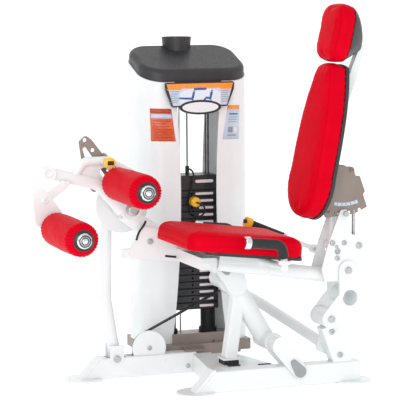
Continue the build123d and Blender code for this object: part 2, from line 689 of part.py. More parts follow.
def carriage_frame():
    """The rocking carriage: under-seat tube, cross beam, cheek plates and pivot bosses."""
    body = bar((-560, 0, 494), (-86, 0, 420), 28)
    body += plate_xz(cheek_face(), *CHEEK_Y) + plate_xz(cheek_face(), -CHEEK_Y[1], -CHEEK_Y[0])
    body -= rod_y((-84, 520), 13, -80, 80)
    body += block(-132, -60, -44, 44, 408, 440) + rod_y(REAR_TOP, 24, -44, 44)
    body += block(-628, -572, -30, 264, 474, 520)
    body += block(-576, -548, -18, 18, 477, 511)
    body += plate_xz(outline([(-628, 500), (-604, 500), (-584, 462), (-572, 462), (-572, 520), (-628, 522)]),
                     -38, -30)
    body += block(LINK_TOP[0] - 20, LINK_TOP[0] + 20, 96, 164, LINK_TOP[1], 534) + rod_y(LINK_TOP, 27, 96, 164)
    body += tilted_block(-560, -300, -32, 32, -42, 39.6)
    body += tilted_block(-585, -430, 32, 164, -15, 12.8)
    body += bar((HANDLE_X, -HANDLE_Y, 500), (HANDLE_X, HANDLE_Y, 500), 14)
    body -= rod_y(LINK_TOP, PIN_RADIUS, 60, 200) + rod_y(REAR_TOP, PIN_RADIUS, -80, 80)
    for pivot in (BACK_PIVOT_FRONT, BACK_PIVOT_REAR):
        body -= rod_y(pivot, 7, -80, 80)
    body -= rod_y(LEVER_PIVOT, 8, 20, 80)
    return body - rod_y(LOCK_PIN, LOCK_RADIUS + RUNNING, -80, 80)


def front_arm():
    """The offset front arm on the tower side, from the seat's cross beam to the hub."""
    y = HUB_TUBE_Y
    tube = bar((-600, y, 508), (-826, y, 664), 34)
    hub = rod_y(ARM_HUB, 44, 290, 346)
    shield_points = [(-833, 526), (-812, 530), (-797, 552), (-762, 612), (-700, 600), (-590, 528),
                     (-560, 500), (-568, 468), (-640, 470), (-803, 488)]
    shield = plate_xz(outline(shield_points), y - 46, y - 38)
    web = block(-700, -640, y - 40, y - 10, 520, 570) + block(-628, -572, y - 46, y + 20, 474, 520)
    tab = block(-838, -806, y - 38, y - 12, 490, 527)
    body = tube + hub + shield + web + tab
    return body - rod_y(ARM_HUB, 16, 250, 380)


def seat_line(x):
    """Height of the seat's underside at X."""
    return 556 - tan(radians(SEAT_TILT)) * (x + 650)


def seat_slab(x0, x1, below, thick, half_front, half_rear, corner):
    """A tapered slab lying along the tilted seat."""
    plan = Polyline((0, -half_front), (x1 - x0, -half_rear), (x1 - x0, half_rear), (0, half_front), close=True)
    face = fillet(make_face(plan).vertices(), corner)
    body = extrude(face, amount=thick)
    return Pos(x0, 0, seat_line(x0) + below) * Rot(0, SEAT_TILT, 0) * body


def seat_pan():
    """The black pan under the cushion."""
    return seat_slab(-668, -274, -2, 11, 200, 184, 40)


def seat_cushion():
    """The seat pad's plain block, rounded along its nose and top edges."""
    body = seat_slab(SEAT_FRONT_X, SEAT_REAR_X, 9.5, 66, SEAT_HALF_FRONT, SEAT_HALF_REAR, 55)
    top = body.faces().sort_by(Axis.Z)[-1].edges()
    return fillet(top, 24)


def handle_path(side, radius, first=0.0, last=0.0):
    """A side handle's bar or sleeve, shortened by first and last at its two ends."""
    y = side * HANDLE_Y
    elbow = (-400, y, 588)
    start, end = (-536, y, 602), (HANDLE_X, y, 500)
    line_in, line_out = Line(start, elbow), Line(elbow, end)
    a = line_in @ (first / line_in.length)
    b = line_out @ (1 - last / line_out.length)
    return bent_bar([a, elbow, b], radius, [34])


def handle_bars():
    """The steel cores of the two side handles."""
    return group(*[handle_path(side, 13) for side in (-1, 1)])


def handle_grips():
    """Rubber grips over the handles' bars."""
    return group(*[handle_path(side, 19, 14, 38) - handle_path(side, 13) for side in (-1, 1)])


def handle_caps():
    """Chrome end caps and collars of the handles."""
    pieces = []
    for side in (-1, 1):
        y = side * HANDLE_Y
        cap = bar((-547, y, 603.1), (-523, y, 600.7), 23)
        cap = fillet(cap.edges().filter_by(GeomType.CIRCLE), 5)
        collar = rod_z(-389.5, y, 24, 516, 530)
        pieces += [cap - handle_path(side, 13), collar - handle_path(side, 13)]
    return group(*pieces)


def carriage_pins():
    """Pivot pins, bolts and the hub shaft that ride on the carriage."""
    parts = [
        rod_y(LINK_TOP, PIN_RADIUS, 83.4, 176.6),
        rod_y(REAR_TOP, PIN_RADIUS, -62, 62),
        cap_y(REAR_TOP, 13, -62, -69, 3),
        cap_y(REAR_TOP, 13, 62, 69, 3),
        rod_y(ARM_HUB, 16, 212, 372),
        bolt_y((-733, 552), HUB_TUBE_Y - 46, -1, 12),
        bolt_y((-106, 553), -CHEEK_Y[1], -1, 11, shank=7),
        bolt_y((-57, 551), -CHEEK_Y[1], -1, 10, shank=7),
        bolt_y((-86, 494), -CHEEK_Y[1], -1, 10, shank=7),
    ]
    for pivot in (BACK_PIVOT_FRONT, BACK_PIVOT_REAR):
        parts.append(rod_y(pivot, 7, -51, 51))
    parts.append(cap_y(BACK_PIVOT_REAR, 12, -51, -58, 3))
    parts.append(rod_y(LEVER_PIVOT, 8, 43, LEVER_Y + 18))
    parts.append(hub_cap())
    return group(*parts)


# --- exercise arm -------------------------------------------------------------------------------


def arm_tube():
    """The arm's main bent tube."""
    points = [ARM_END, (-945, 785), (ARM_HUB[0] - 33, ARM_HUB[1] - 5)]
    return bent_bar([(x, ARM_Y, z) for x, z in points], 24, [60])


def arm_frame():
    """Main tube, arch tube, web and hub sleeve of the exercise arm."""
    y = ARM_Y
    arch = [(-1046, 812), (-1000, 872), (-905, 872), (-800, 812), (-806, 715)]
    body = arm_tube() + bent_bar([(x, y, z) for x, z in arch], 18, [30, 50, 40])
    body += rod_y(ARM_HUB, 40, y - 22, y + 26) + rod_y(ARM_END, 27, y - 40, y + 26)
    web = plate_xz(outline([(-1040, 814), (-1000, 870), (-906, 870), (-810, 815), (-820, 700), (-945, 785)]),
                   y - 4, y + 4)
    upper, lower = slide_shift(SHIN_ROLLER, -PAD_STEP), slide_shift(SHIN_ROLLER, PAD_STEP)
    web -= plate_xz(hull((upper, 16), (lower, 16)), y - 30, y + 30)
    body += web + strap_guide()
    body += rod_y(KNOB_POINT, 13, KNOB_BOSS_Y, y - 8)
    body -= rod_y(KNOB_POINT, 5 + RUNNING, 180, 281)
    return body - rod_y(ARM_HUB, 16 + RUNNING, 200, 300) - rod_y(ARM_END, 15, y - 60, y - 34)


def ankle_bracket():
    """The slanted link, bracket plate and axle that hold the ankle roller."""
    link = box_bar((-1082, 216, 796), (-1163, 216, 738), 12, 36, 4)
    link += block(-1100, -1066, 212, 232, 786, 806) - arm_tube()
    plate_face = outline([(-1216, 768), (-1170, 786), (-1141, 748), (-1100, 690), (-1098, 640), (-1124, 606),
                          (-1160, 612), (-1204, 650)])
    plate = plate_xz(fillet(plate_face.vertices(), 10), 202, 210)
    axle = rod_y(ANKLE_ROLLER, 12, -ROLLER_HALF - 6, 204)
    return link + plate + axle + bolt_y((-1166, 736), 202, -1, 12, shank=2)


def hub_disc():
    """The large round cover on the tower side of the hub, with the crank pin behind it."""
    body = cap_y(ARM_HUB, 106, DISC_Y[1], DISC_Y[0], 3)
    body -= rod_y(ARM_HUB, 16 + RUNNING, 340, 380)
    spokes = ring_y(ARM_HUB, 30, 16 + RUNNING, 346.5, 352)
    return body + spokes + rod_y(ROD_TOP, 8, DISC_Y[1] - 2, 412)


def hub_cap():
    """The domed chrome cap on the hub's near end."""
    body = cap_y(ARM_HUB, 25, 223.6, 200, 10)
    return body - rod_y(ARM_HUB, 16 + RUNNING, 211.5, 240)


# --- rollers ------------------------------------------------------------------------------------
def roller_pad(centre):
    """The plain foam cylinder of a roller."""
    body = ring_y(centre, ROLLER_RADIUS, 22, -ROLLER_HALF, ROLLER_FAR)
    rims = body.edges().filter_by(GeomType.CIRCLE).sort_by(Axis.Y)
    outer = [edge for edge in rims if abs(edge.radius - ROLLER_RADIUS) < 1]
    return fillet(outer, 22)


def roller_core(centre):
    """The sleeve that turns on the axle, with its black end plates."""
    sleeve = ring_y(centre, 22, 12 + RUNNING, -ROLLER_HALF, ROLLER_FAR)
    near = ring_y(centre, 39, 12 + RUNNING, -ROLLER_HALF - 4, -ROLLER_HALF)
    far = ring_y(centre, 39, 12 + RUNNING, ROLLER_FAR, ROLLER_FAR + 4)
    return sleeve + near + far


def roller_cap(centre):
    """The domed cap that closes the roller's near end."""
    cap = cap_y(centre, 26, -ROLLER_HALF - 4.3, -ROLLER_HALF - 18, 6)
    return cap - rod_y(centre, 12, -ROLLER_HALF - 6, -ROLLER_HALF)


# --- shin pad adjuster --------------------------------------------------------------------------


def slide_point(distance, offset=0.0):
    """A point in X, Z from its distance along the strap's line, past the knob, and beside it."""
    c, s = cos(radians(SLIDE_ANGLE)), sin(radians(SLIDE_ANGLE))
    return (KNOB_POINT[0] + c * distance - s * offset, KNOB_POINT[1] + s * distance + c * offset)


def slide_shift(point, distance):
    c, s = cos(radians(SLIDE_ANGLE)), sin(radians(SLIDE_ANGLE))
    return (point[0] + c * distance, point[1] + s * distance)


def pad_adjuster():
    """The taupe strap with its holes and hooked slot, and the axle of the shin roller."""
    points = [(-110, -22), (-112, 14), (-84, 22), (60, 21), (98, -20), (80, -98), (22, -104), (-64, -48)]
    strap = fillet(outline([slide_point(*point) for point in points]).vertices(), 11)
    strap += disc(SHIN_ROLLER, 30)
    slot = [(-80, -14), (58, -22), (58, -62), (-52, -39), (-80, -28)]
    strap -= fillet(outline([slide_point(*point) for point in slot]).vertices(), 6)
    body = plate_xz(strap, *STRAP_Y)
    for index in range(-2, 2):
        body -= rod_y(slide_point(index * PAD_STEP), 7.5, 200, 290)
    return body + rod_y(SHIN_ROLLER, 12, -ROLLER_HALF - 6, STRAP_Y[0] + 3)


def strap_guide():
    """The keeper on the arm's far side that holds the strap as it slides."""
    def wall(low, high, y0, y1):
        corners = [slide_point(-14, low), slide_point(14, low), slide_point(14, high), slide_point(-14, high)]
        return plate_xz(outline(corners), y0, y1)

    back = STRAP_Y[1] + 1.5
    lower = wall(-29, -23, ARM_Y - 4, back + 5)
    upper = wall(26, 32, ARM_Y, back + 5)
    return lower + upper + wall(-29, 32, back, back + 5)


def pull_knob():
    """The yellow pull knob and its locking pin, drawn with the pin just clear of the strap."""
    knob = cap_y(KNOB_POINT, 21, 178, 142, 8)
    collar = rod_y(KNOB_POINT, 13, 177, 181)
    pin = rod_y(KNOB_POINT, 5, 180, STRAP_Y[0] - 0.4)
    return knob + collar + pin


# --- link rod -----------------------------------------------------------------------------------
def link_rod():
    """The bent rod from the tower rail's clevis to the hub disc's crank pin."""
    y = TOWER_RAIL_Y
    knee = (-874, y, 318)
    rod = bent_bar([(ROD_BASE[0], y, ROD_BASE[1] + 10), knee, (ROD_TOP[0], y, ROD_TOP[1] - 20)], 23, 160)
    rod -= block(-960, -700, y - 40, y + 40, 0, 60)
    eye = rod_y(ROD_BASE, 21, y - 26.6, y + 26.6)
    ring = rod_y(ROD_TOP, 8 + ROD_CLEARANCE + 9, y - 16, y + 8)
    body = rod + eye + ring
    body -= rod_y(ROD_TOP, 8 + ROD_CLEARANCE, y - 60, y + 60)
    body -= block(-960, -700, y + 8, y + 60, ROD_TOP[1] - 60, 800)
    body -= block(-960, -700, y - 60, y - 16, ROD_TOP[1] - 60, 800)
    return body - rod_y(ROD_BASE, PIN_RADIUS + RUNNING, y - 60, y + 60)


# --- backrest -----------------------------------------------------------------------------------
def back_frame_point(height, offset):
    """A point in X, Z from its height up the pad's back plane and its distance behind it."""
    t = radians(BACK_TILT)
    return (-178 + sin(t) * height + cos(t) * offset, 640 + cos(t) * height - sin(t) * offset)


def tilted(shape):
    """Lays a shape drawn with X behind the pad, Y across and Z up onto the leaning back plane."""
    return Pos(-178, 0, 640) * Rot(0, BACK_TILT, 0) * shape


def shield_outline(scale=1.0):
    """The backrest's outline across and up: a round foot, straight sides and a narrow top."""
    half = 138 * scale
    top = 62 * scale
    left = [(-half, 170), (-half * 0.98, 300), (-half * 0.86, 440), (-top, 592)]
    right = [(-x, z) for x, z in reversed(left)]
    foot = ThreePointArc((half, 170), (0, 2), (-half, 170))
    sides = [Spline(*left), ThreePointArc(left[-1], (0, 604), right[0]), Spline(*right)]
    return make_face([foot] + sides)


def backrest_pad():
    face = Plane(origin=(0, 0, 0), x_dir=(0, -1, 0), z_dir=(-1, 0, 0)) * shield_outline()
    body = extrude(face, amount=68)
    front = body.faces().sort_by(Axis.X)[0].edges()
    return tilted(fillet(front, 20))


def backrest_shell():
    face = Plane(origin=(0.4, 0, 0), x_dir=(0, 1, 0), z_dir=(1, 0, 0)) * shield_outline(0.97)
    body = extrude(face, amount=16)
    rear = body.faces().sort_by(Axis.X)[-1].edges()
    return tilted(fillet(rear, 6))


def head_outline(scale=1.0):
    half, height = 102 * scale, 221 * scale
    face = Pos(0, HEAD_BASE + 110.5) * RectangleRounded(2 * half, height, 66 * scale)
    return face


def headrest_pad():
    face = Plane(origin=(-14, 0, 0), x_dir=(0, -1, 0), z_dir=(-1, 0, 0)) * head_outline()
    body = extrude(face, amount=62)
    front = body.faces().sort_by(Axis.X)[0].edges()
    return tilted(fillet(front, 22))


def headrest_shell():
    """The deep shell behind the head pad, drawn out to the spine."""
    back = Plane(origin=(-13.6, 0, 0), x_dir=(0, 1, 0), z_dir=(1, 0, 0)) * head_outline(0.96)
    mid = Plane(origin=(16, 0, 0), x_dir=(0, 1, 0), z_dir=(1, 0, 0)) * (
        Pos(0, HEAD_BASE + 112) * RectangleRounded(150, 176, 60))
    tip = Plane(origin=(62, 0, 0), x_dir=(0, 1, 0), z_dir=(1, 0, 0)) * (
        Pos(0, HEAD_BASE + 88) * RectangleRounded(52, 60, 22))
    return tilted(loft([back, mid, tip]))


def back_spine():
    """The white curved spine that carries the head pad, the back pad and the sector plates."""
    def edge(heights, base, swell):
        return [(base + swell * sin(pi * (h - 330) / 560), h) for h in heights]
    heights = [150, 260, 380, 500, 600, 690]
    rear = [(h, o) for h, o in zip(heights, (52, 40, 42, 62, 76, 74))]
    front = [(h, o) for h, o in zip(heights, (17, 17, 18, 30, 44, 62))]
    rear_line = [back_frame_point(h, o) for h, o in rear]
    front_line = [back_frame_point(h, o) for h, o in reversed(front)]
    face = make_face([Spline(*rear_line), Line(rear_line[-1], front_line[0]), Spline(*front_line),
                      Line(front_line[-1], rear_line[0])])
    body = plate_xz(face, -17, 17)
    gusset = outline([back_frame_point(330, 38), back_frame_point(196, 70), back_frame_point(150, 40),
                      back_frame_point(150, 20)])
    return body + plate_xz(gusset, -17, 17)


def sector_faces():
    points = [(-112, 846), (-28, 842), (-14, 838), (-6, 806), (12, 804), (34, 745), (26, 733), (43, 684),
              (-12, 660), (-132, 650), (-138, 680)]
    face = fillet(outline(points).vertices(), 4)
    for pivot in (BACK_PIVOT_FRONT, BACK_PIVOT_REAR):
        face -= disc((pivot[0], pivot[1] + BACK_LINK), 7)
    return face


def sector_plates():
    """The pair of taupe sector plates with their arc of locking holes."""
    face = sector_faces()
    for index in (-3, -2, -1, 0, 1, 2, 3):
        swing = atan2(index * HOLE_STEP, (BACK_LINK ** 2 - (index * HOLE_STEP) ** 2) ** 0.5)
        face -= disc((LOCK_PIN[0] + BACK_LINK * sin(swing), LOCK_PIN[1] + BACK_LINK * (1 - cos(swing))), LOCK_HOLE)
    near = plate_xz(face, -40, -34)
    far = plate_xz(face, 34, 40)
    tie = block(-96, -40, -35, 35, 815, 838)
    body = near + far + tie
    for pivot in (BACK_PIVOT_FRONT, BACK_PIVOT_REAR):
        body += rod_y((pivot[0], pivot[1] + BACK_LINK), 7, -40, 40)
    return body + bolt_y((-22, 828), -40, -1, 10, shank=3)


def back_link(pivot, radius, half, clearance=RUNNING):
    """One of the two parallel links under the sector plates."""
    top = (pivot[0], pivot[1] + BACK_LINK)
    body = rod_z(pivot[0], 0, radius, pivot[1], top[1])
    body += rod_y(pivot, 18, -half, half) + rod_y(top, 18, -half, half)
    body -= rod_y(pivot, 7 + RUNNING, -80, 80)
    return body - rod_y(top, 7 + clearance, -80, 80)


def lock_pin():
    """The spring pin in the near cheek, drawn with its tip just clear of the sector plate."""
    pin = rod_y(LOCK_PIN, LOCK_RADIUS, -60, -40.6)
    return pin + cap_y(LOCK_PIN, 11, -60, -68, 3)


def lever_stretch(start, end, radius):
    """A round stretch of the lever between two distances from its free end."""
    a, b = along(LEVER_END, LEVER_PIVOT, start), along(LEVER_END, LEVER_PIVOT, end)
    return bar((a[0], LEVER_Y, a[1]), (b[0], LEVER_Y, b[1]), radius)


def release_lever():
    """The long lever at the user's far side that works the lock pin."""
    body = lever_stretch(0, 300, 10) + rod_y(LEVER_PIVOT, 18, LEVER_Y - 13, LEVER_Y + 13)
    return body - rod_y(LEVER_PIVOT, 8 + RUNNING, LEVER_Y - 40, LEVER_Y + 40)


def lever_grip():
    """The lever's black grip, its yellow end cap and its collar."""
    core = lever_stretch(0, 300, 10)
    sleeves = [lever_stretch(22, 164, 15), lever_stretch(-4, 21.6, 21), lever_stretch(164.4, 178, 16.5)]
    return group(*[sleeve - core for sleeve in sleeves])


# --- write every part ---------------------------------------------------------------------------
def main():
    os.makedirs("parts", exist_ok=True)
    left, right = shrouds()
    nodes = {
        "seat_rail": seat_rail(),
        "tower_rail": tower_rail(),
        "cross_member": cross_member(),
        "rear_post": rear_post(),
        "brace_tube": brace_tube(),
        "tower_base": tower_base(),
        "shroud_left": left,
        "shroud_right": right,
        "tower_cap": tower_cap(),
        "placard": placard(),
        "guide_rods": guide_rods(),
        "rubber_stops": group(rod_bumpers(), stop_pads()),
        "head_frame": head_frame(),
        "head_pulley": head_pulley(),
        "stack_head": stack_head(),
        "plates_lifted": stack_plates(0, LIFTED_PLATES),
        "plates_resting": stack_plates(LIFTED_PLATES, PLATE_COUNT),
        "selector_pin": selector_pin(),
        "selector_lanyard": selector_lanyard(),
        "lift_cable": lift_cable(),
        "tower_cable": tower_cable(),
        "belt_pulley_wheel": belt_pulley_wheel(),
        "belt_pulley_guard": belt_pulley_guard(),
        "drive_belt": drive_belt(),
        "belt_run": belt_run(),
        "base_pins": base_pins(),
        "front_link_frame": front_link_frame(),
        "front_link_covers": front_link_covers(),
        "stop_foot": stop_foot(),
        "rear_link": rear_link(),
        "carriage_frame": carriage_frame(),
        "handle_bars": handle_bars() - carriage_frame(),
        "front_arm": front_arm(),
        "seat_pan": seat_pan(),
        "seat_cushion": seat_cushion(),
        "handle_grips": handle_grips(),
        "handle_caps": handle_caps(),
        "carriage_pins": carriage_pins(),
        "arm_frame": arm_frame(),
        "ankle_bracket": ankle_bracket(),
        "hub_disc": hub_disc(),
        "ankle_pad": roller_pad(ANKLE_ROLLER),
        "ankle_core": roller_core(ANKLE_ROLLER) + roller_cap(ANKLE_ROLLER),
        "shin_pad": roller_pad(SHIN_ROLLER),
        "shin_core": roller_core(SHIN_ROLLER) + roller_cap(SHIN_ROLLER),
        "pad_adjuster": pad_adjuster(),
        "pull_knob": pull_knob(),
        "link_rod": link_rod(),
        "backrest_pad": backrest_pad(),
        "backrest_shell": backrest_shell(),
        "headrest_pad": headrest_pad(),
        "headrest_shell": headrest_shell(),
        "back_spine": back_spine(),
        "sector_plates": sector_plates(),
        "back_link_front": back_link(BACK_PIVOT_FRONT, 16, 33),
        "back_link_rear": back_link(BACK_PIVOT_REAR, 7, 33, 0.4),
        "lock_pin": lock_pin(),
        "release_lever": release_lever(),
        "lever_grip": lever_grip(),
    }
    for name, shape in nodes.items():
        save(name, shape)
    print(len(nodes), "parts written")


if __name__ == "__main__":
    main()
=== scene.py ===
import json
from math import atan2, cos, pi, radians, sin

import bmesh
import bpy
import numpy as np
from mathutils import Matrix, Vector
from mathutils.bvhtree import BVHTree


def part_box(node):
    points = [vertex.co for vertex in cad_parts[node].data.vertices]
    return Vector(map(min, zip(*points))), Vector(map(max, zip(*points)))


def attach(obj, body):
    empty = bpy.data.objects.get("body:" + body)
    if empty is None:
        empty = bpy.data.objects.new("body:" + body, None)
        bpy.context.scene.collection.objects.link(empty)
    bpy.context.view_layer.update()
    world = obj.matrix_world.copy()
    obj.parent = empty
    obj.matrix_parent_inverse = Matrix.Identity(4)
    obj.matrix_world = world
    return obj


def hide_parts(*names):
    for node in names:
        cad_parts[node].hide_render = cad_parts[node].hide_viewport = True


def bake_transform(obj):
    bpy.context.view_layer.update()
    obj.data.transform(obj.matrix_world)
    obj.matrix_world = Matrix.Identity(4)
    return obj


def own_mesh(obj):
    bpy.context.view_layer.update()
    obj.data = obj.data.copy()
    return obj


# Looks of the seated leg curl machine, in metres, +Z up. The camera stands on the -Y side.
# at(x, y, z) takes a point whose zero is the machine's rear foot, as the design's dimensions do.

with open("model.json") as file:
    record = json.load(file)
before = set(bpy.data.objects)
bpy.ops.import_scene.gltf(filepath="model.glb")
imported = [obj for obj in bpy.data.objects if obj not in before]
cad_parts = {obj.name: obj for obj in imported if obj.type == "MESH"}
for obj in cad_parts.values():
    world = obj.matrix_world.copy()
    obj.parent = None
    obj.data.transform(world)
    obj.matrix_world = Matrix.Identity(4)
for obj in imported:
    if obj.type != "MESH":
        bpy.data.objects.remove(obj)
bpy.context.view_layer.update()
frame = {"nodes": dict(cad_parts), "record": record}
scene = bpy.context.scene
rng = np.random.default_rng(7)

FOOT_ZERO = Vector((0.57014, -0.2465, 0.0))   # the rear foot's place in the frame
SEAT_TILT = radians(6.8)                      # rear lower
BACK_TILT = radians(11.9)                     # from upright
ROLLER_HALF = 0.187                           # half of a roller's length
ROLLER_RADIUS = 0.064


def at(x, y, z):
    """A point measured from the rear foot, in the frame."""
    return Vector((x, y, z)) + FOOT_ZERO


# --- camera -------------------------------------------------------------------------------------
CAMERA_PLACE = at(-3.0866, -6.7666, 1.5640)
CAMERA_YAW = radians(20.0)
CAMERA_PITCH = radians(6.56)
CAMERA_ROLL = radians(0.35)
CAMERA_LENS = 174.8          # millimetres
CAMERA_SENSOR = 36.0


def add_camera():
    """A long lens from the front left, a little above the seat."""
    reach = cos(CAMERA_PITCH)
    ahead = Vector((sin(CAMERA_YAW) * reach, cos(CAMERA_YAW) * reach, -sin(CAMERA_PITCH)))
    level = Vector((cos(CAMERA_YAW), -sin(CAMERA_YAW), 0.0))
    down = ahead.cross(level)
    right = level * cos(CAMERA_ROLL) + down * sin(CAMERA_ROLL)
    below = down * cos(CAMERA_ROLL) - level * sin(CAMERA_ROLL)
    data = bpy.data.cameras.new("camera")
    data.lens = CAMERA_LENS
    data.sensor_width = CAMERA_SENSOR
    data.clip_end = 100.0
    camera = bpy.data.objects.new("camera", data)
    turn = Matrix((right, -below, -ahead)).transposed()
    camera.matrix_world = Matrix.Translation(CAMERA_PLACE) @ turn.to_4x4()
    scene.collection.objects.link(camera)
    scene.camera = camera


add_camera()


# --- materials ----------------------------------------------------------------------------------
def tone(red, green, blue):
    """A colour given as 0 to 255 display values, as linear light."""
    shares = [value / 255 for value in (red, green, blue)]
    linear = [s / 12.92 if s <= 0.04045 else ((s + 0.055) / 1.055) ** 2.4 for s in shares]
    return (*linear, 1.0)


class Finish:
    """A Principled material with layers of noise for its colour, roughness and relief."""

    def __init__(self, name, colour, roughness, soft_edge=0.0, **constants):
        self.material = bpy.data.materials.new(name)
        self.material.use_nodes = True
        self.tree = self.material.node_tree
        self.shader = self.tree.nodes["Principled BSDF"]
        self.set("Base Color", colour)
        self.set("Roughness", roughness)
        for label, value in constants.items():
            self.set(label.replace("_", " ").title().replace("Ior", "IOR"), value)
        self.place = self.add("TexCoord").outputs["Object"]
        self.normal = None
        self.edges = None
        if soft_edge:
            self.soften(soft_edge)
        self.material.diffuse_color = colour

    def add(self, kind):
        return self.tree.nodes.new("ShaderNode" + kind)

    def set(self, label, value):
        self.shader.inputs[label].default_value = value

    def link(self, source, target):
        self.tree.links.new(source, target)

    def soften(self, radius):
        """Rounds the look of sharp edges, and finds them for wear."""
        bevel = self.add("Bevel")
        bevel.samples = 6
        bevel.inputs["Radius"].default_value = radius
        self.normal = bevel.outputs["Normal"]
        self.link(self.normal, self.shader.inputs["Normal"])
        match = self.add("VectorMath")
        match.operation = "DOT_PRODUCT"
        self.link(bevel.outputs["Normal"], match.inputs[0])
        self.link(self.add("NewGeometry").outputs["Normal"], match.inputs[1])
        self.edges = self.ranged(match.outputs["Value"], 0.995, 0.86, 0.0, 1.0)

    def noise(self, scale, detail=3.0, roughness=0.55, stretch=(1, 1, 1)):
        texture = self.add("TexNoise")
        texture.inputs["Scale"].default_value = scale
        texture.inputs["Detail"].default_value = detail
        texture.inputs["Roughness"].default_value = roughness
        mapping = self.add("Mapping")
        mapping.inputs["Scale"].default_value = stretch
        self.link(self.place, mapping.inputs["Vector"])
        self.link(mapping.outputs["Vector"], texture.inputs["Vector"])
        return texture.outputs["Fac"]

    def cells(self, scale, smooth=0.4):
        texture = self.add("TexVoronoi")
        texture.feature = "SMOOTH_F1"
        texture.inputs["Scale"].default_value = scale
        texture.inputs["Smoothness"].default_value = smooth
        self.link(self.place, texture.inputs["Vector"])
        return texture.outputs["Distance"]

    def ranged(self, source, low, high, to_low, to_high):
        node = self.add("MapRange")
        for label, value in zip(("From Min", "From Max", "To Min", "To Max"), (low, high, to_low, to_high)):
            node.inputs[label].default_value = value
        self.link(source, node.inputs["Value"])
        return node.outputs["Result"]

    def product(self, first, second):
        node = self.add("Math")
        node.operation = "MULTIPLY"
        self.link(first, node.inputs[0])
        self.link(second, node.inputs[1])
        return node.outputs["Value"]

    def mix(self, share, first, second):
        """Mixes two colours, or a colour over an earlier mix."""
        node = self.add("Mix")
        node.data_type = "RGBA"
        for value, socket in ((first, node.inputs[6]), (second, node.inputs[7])):
            if isinstance(value, tuple):
                socket.default_value = value
            else:
                self.link(value, socket)
        self.link(share, node.inputs[0])
        return node.outputs[2]

    def colour(self, output):
        self.link(output, self.shader.inputs["Base Color"])

    def rough(self, source, low, high, from_low=0.3, from_high=0.7):
        self.link(self.ranged(source, from_low, from_high, low, high), self.shader.inputs["Roughness"])

    def relief(self, *layers):
        """Each layer is a height and its depth in metres."""
        for height, depth in layers:
            bump = self.add("Bump")
            bump.inputs["Distance"].default_value = depth
            bump.inputs["Strength"].default_value = 1.0
            self.link(height, bump.inputs["Height"])
            if self.normal is not None:
                self.link(self.normal, bump.inputs["Normal"])
            self.normal = bump.outputs["Normal"]
        self.link(self.normal, self.shader.inputs["Normal"])
        return self


def powder_coat(name, light, shade, roughness=0.33, wear=(0.55, 0.55, 0.56, 1.0)):
    """Gloss powder coat: orange peel, faint dust, and edges that are a little rubbed."""
    finish = Finish(name, light, roughness, soft_edge=0.0022, coat_weight=0.25, coat_roughness=0.18)
    cloud = finish.ranged(finish.noise(5.0, 4.0), 0.35, 0.7, 0.0, 1.0)
    scuffs = finish.ranged(finish.noise(120.0, 5.0, 0.7), 0.56, 0.68, 0.0, 0.55)
    body = finish.mix(cloud, light, shade)
    finish.colour(finish.mix(finish.product(finish.edges, scuffs), body, wear))
    finish.rough(finish.noise(26.0, 4.0), roughness - 0.06, roughness + 0.1)
    return finish.relief((finish.noise(420.0, 2.0), 0.00012), (finish.noise(60.0, 2.0), 0.00010)).material


def vinyl(name, light, shade):
    """Upholstery vinyl: a fine leather grain, soft creases and hardly any gloss."""
    finish = Finish(name, light, 0.5, specular_ior_level=0.02)
    finish.colour(finish.mix(finish.ranged(finish.noise(9.0, 5.0), 0.35, 0.7, 0.0, 1.0), light, shade))
    finish.rough(finish.noise(70.0, 4.0), 0.36, 0.5)
    grain, pores, creases = finish.cells(620.0), finish.noise(1500.0, 2.0), finish.noise(22.0, 3.0)
    return finish.relief((grain, 0.00016), (pores, 0.00005), (creases, 0.0009)).material


def moulded(name, light, shade, roughness=0.45, grain=900.0, depth=0.00012, **constants):
    """Moulded plastic or rubber with a fine spark-eroded grain."""
    finish = Finish(name, light, roughness, soft_edge=0.0014, **constants)
    finish.colour(finish.mix(finish.ranged(finish.noise(14.0, 4.0), 0.35, 0.7, 0.0, 1.0), light, shade))
    finish.rough(finish.noise(90.0, 4.0), roughness - 0.07, roughness + 0.08)
    return finish.relief((finish.noise(grain, 3.0), depth)).material


def metal(name, light, shade, roughness, brushed=(1, 1, 1), depth=0.00004):
    """Bare or plated metal, with fine lines along one axis where it is brushed or turned."""
    finish = Finish(name, light, roughness, soft_edge=0.0009, metallic=1.0)
    finish.colour(finish.mix(finish.ranged(finish.noise(45.0, 5.0), 0.35, 0.7, 0.0, 1.0), light, shade))
    finish.rough(finish.noise(160.0, 4.0, 0.6, brushed), max(roughness - 0.05, 0.02), roughness + 0.08)
    return finish.relief((finish.noise(700.0, 2.0, 0.5, brushed), depth)).material


def cast_iron(name):
    """Black painted iron plates: coarse paint, and edges where the paint is knocked off."""
    light, shade = tone(46, 46, 50), tone(26, 26, 29)
    finish = Finish(name, light, 0.42, soft_edge=0.0012, coat_weight=0.2, coat_roughness=0.25)
    body = finish.mix(finish.ranged(finish.noise(30.0, 5.0), 0.35, 0.7, 0.0, 1.0), light, shade)
    chips = finish.product(finish.edges, finish.ranged(finish.noise(240.0, 5.0, 0.75), 0.5, 0.62, 0.0, 0.8))
    finish.colour(finish.mix(chips, body, tone(120, 118, 116)))
    finish.rough(finish.noise(110.0, 4.0), 0.34, 0.55)
    return finish.relief((finish.noise(500.0, 4.0), 0.0002)).material


def printed(name, colour, roughness=0.28):
    """A printed film: flat colour under a thin clear coat, with a trace of ink mottle."""
    finish = Finish(name, colour, roughness, coat_weight=0.5, coat_roughness=0.08)
    darker = (*[value * 0.93 for value in colour[:3]], 1.0)
    finish.colour(finish.mix(finish.ranged(finish.noise(180.0, 3.0), 0.35, 0.7, 0.0, 1.0), colour, darker))
    finish.rough(finish.noise(60.0, 3.0), roughness - 0.05, roughness + 0.07)
    return finish.relief((finish.noise(900.0, 2.0), 0.00003)).material


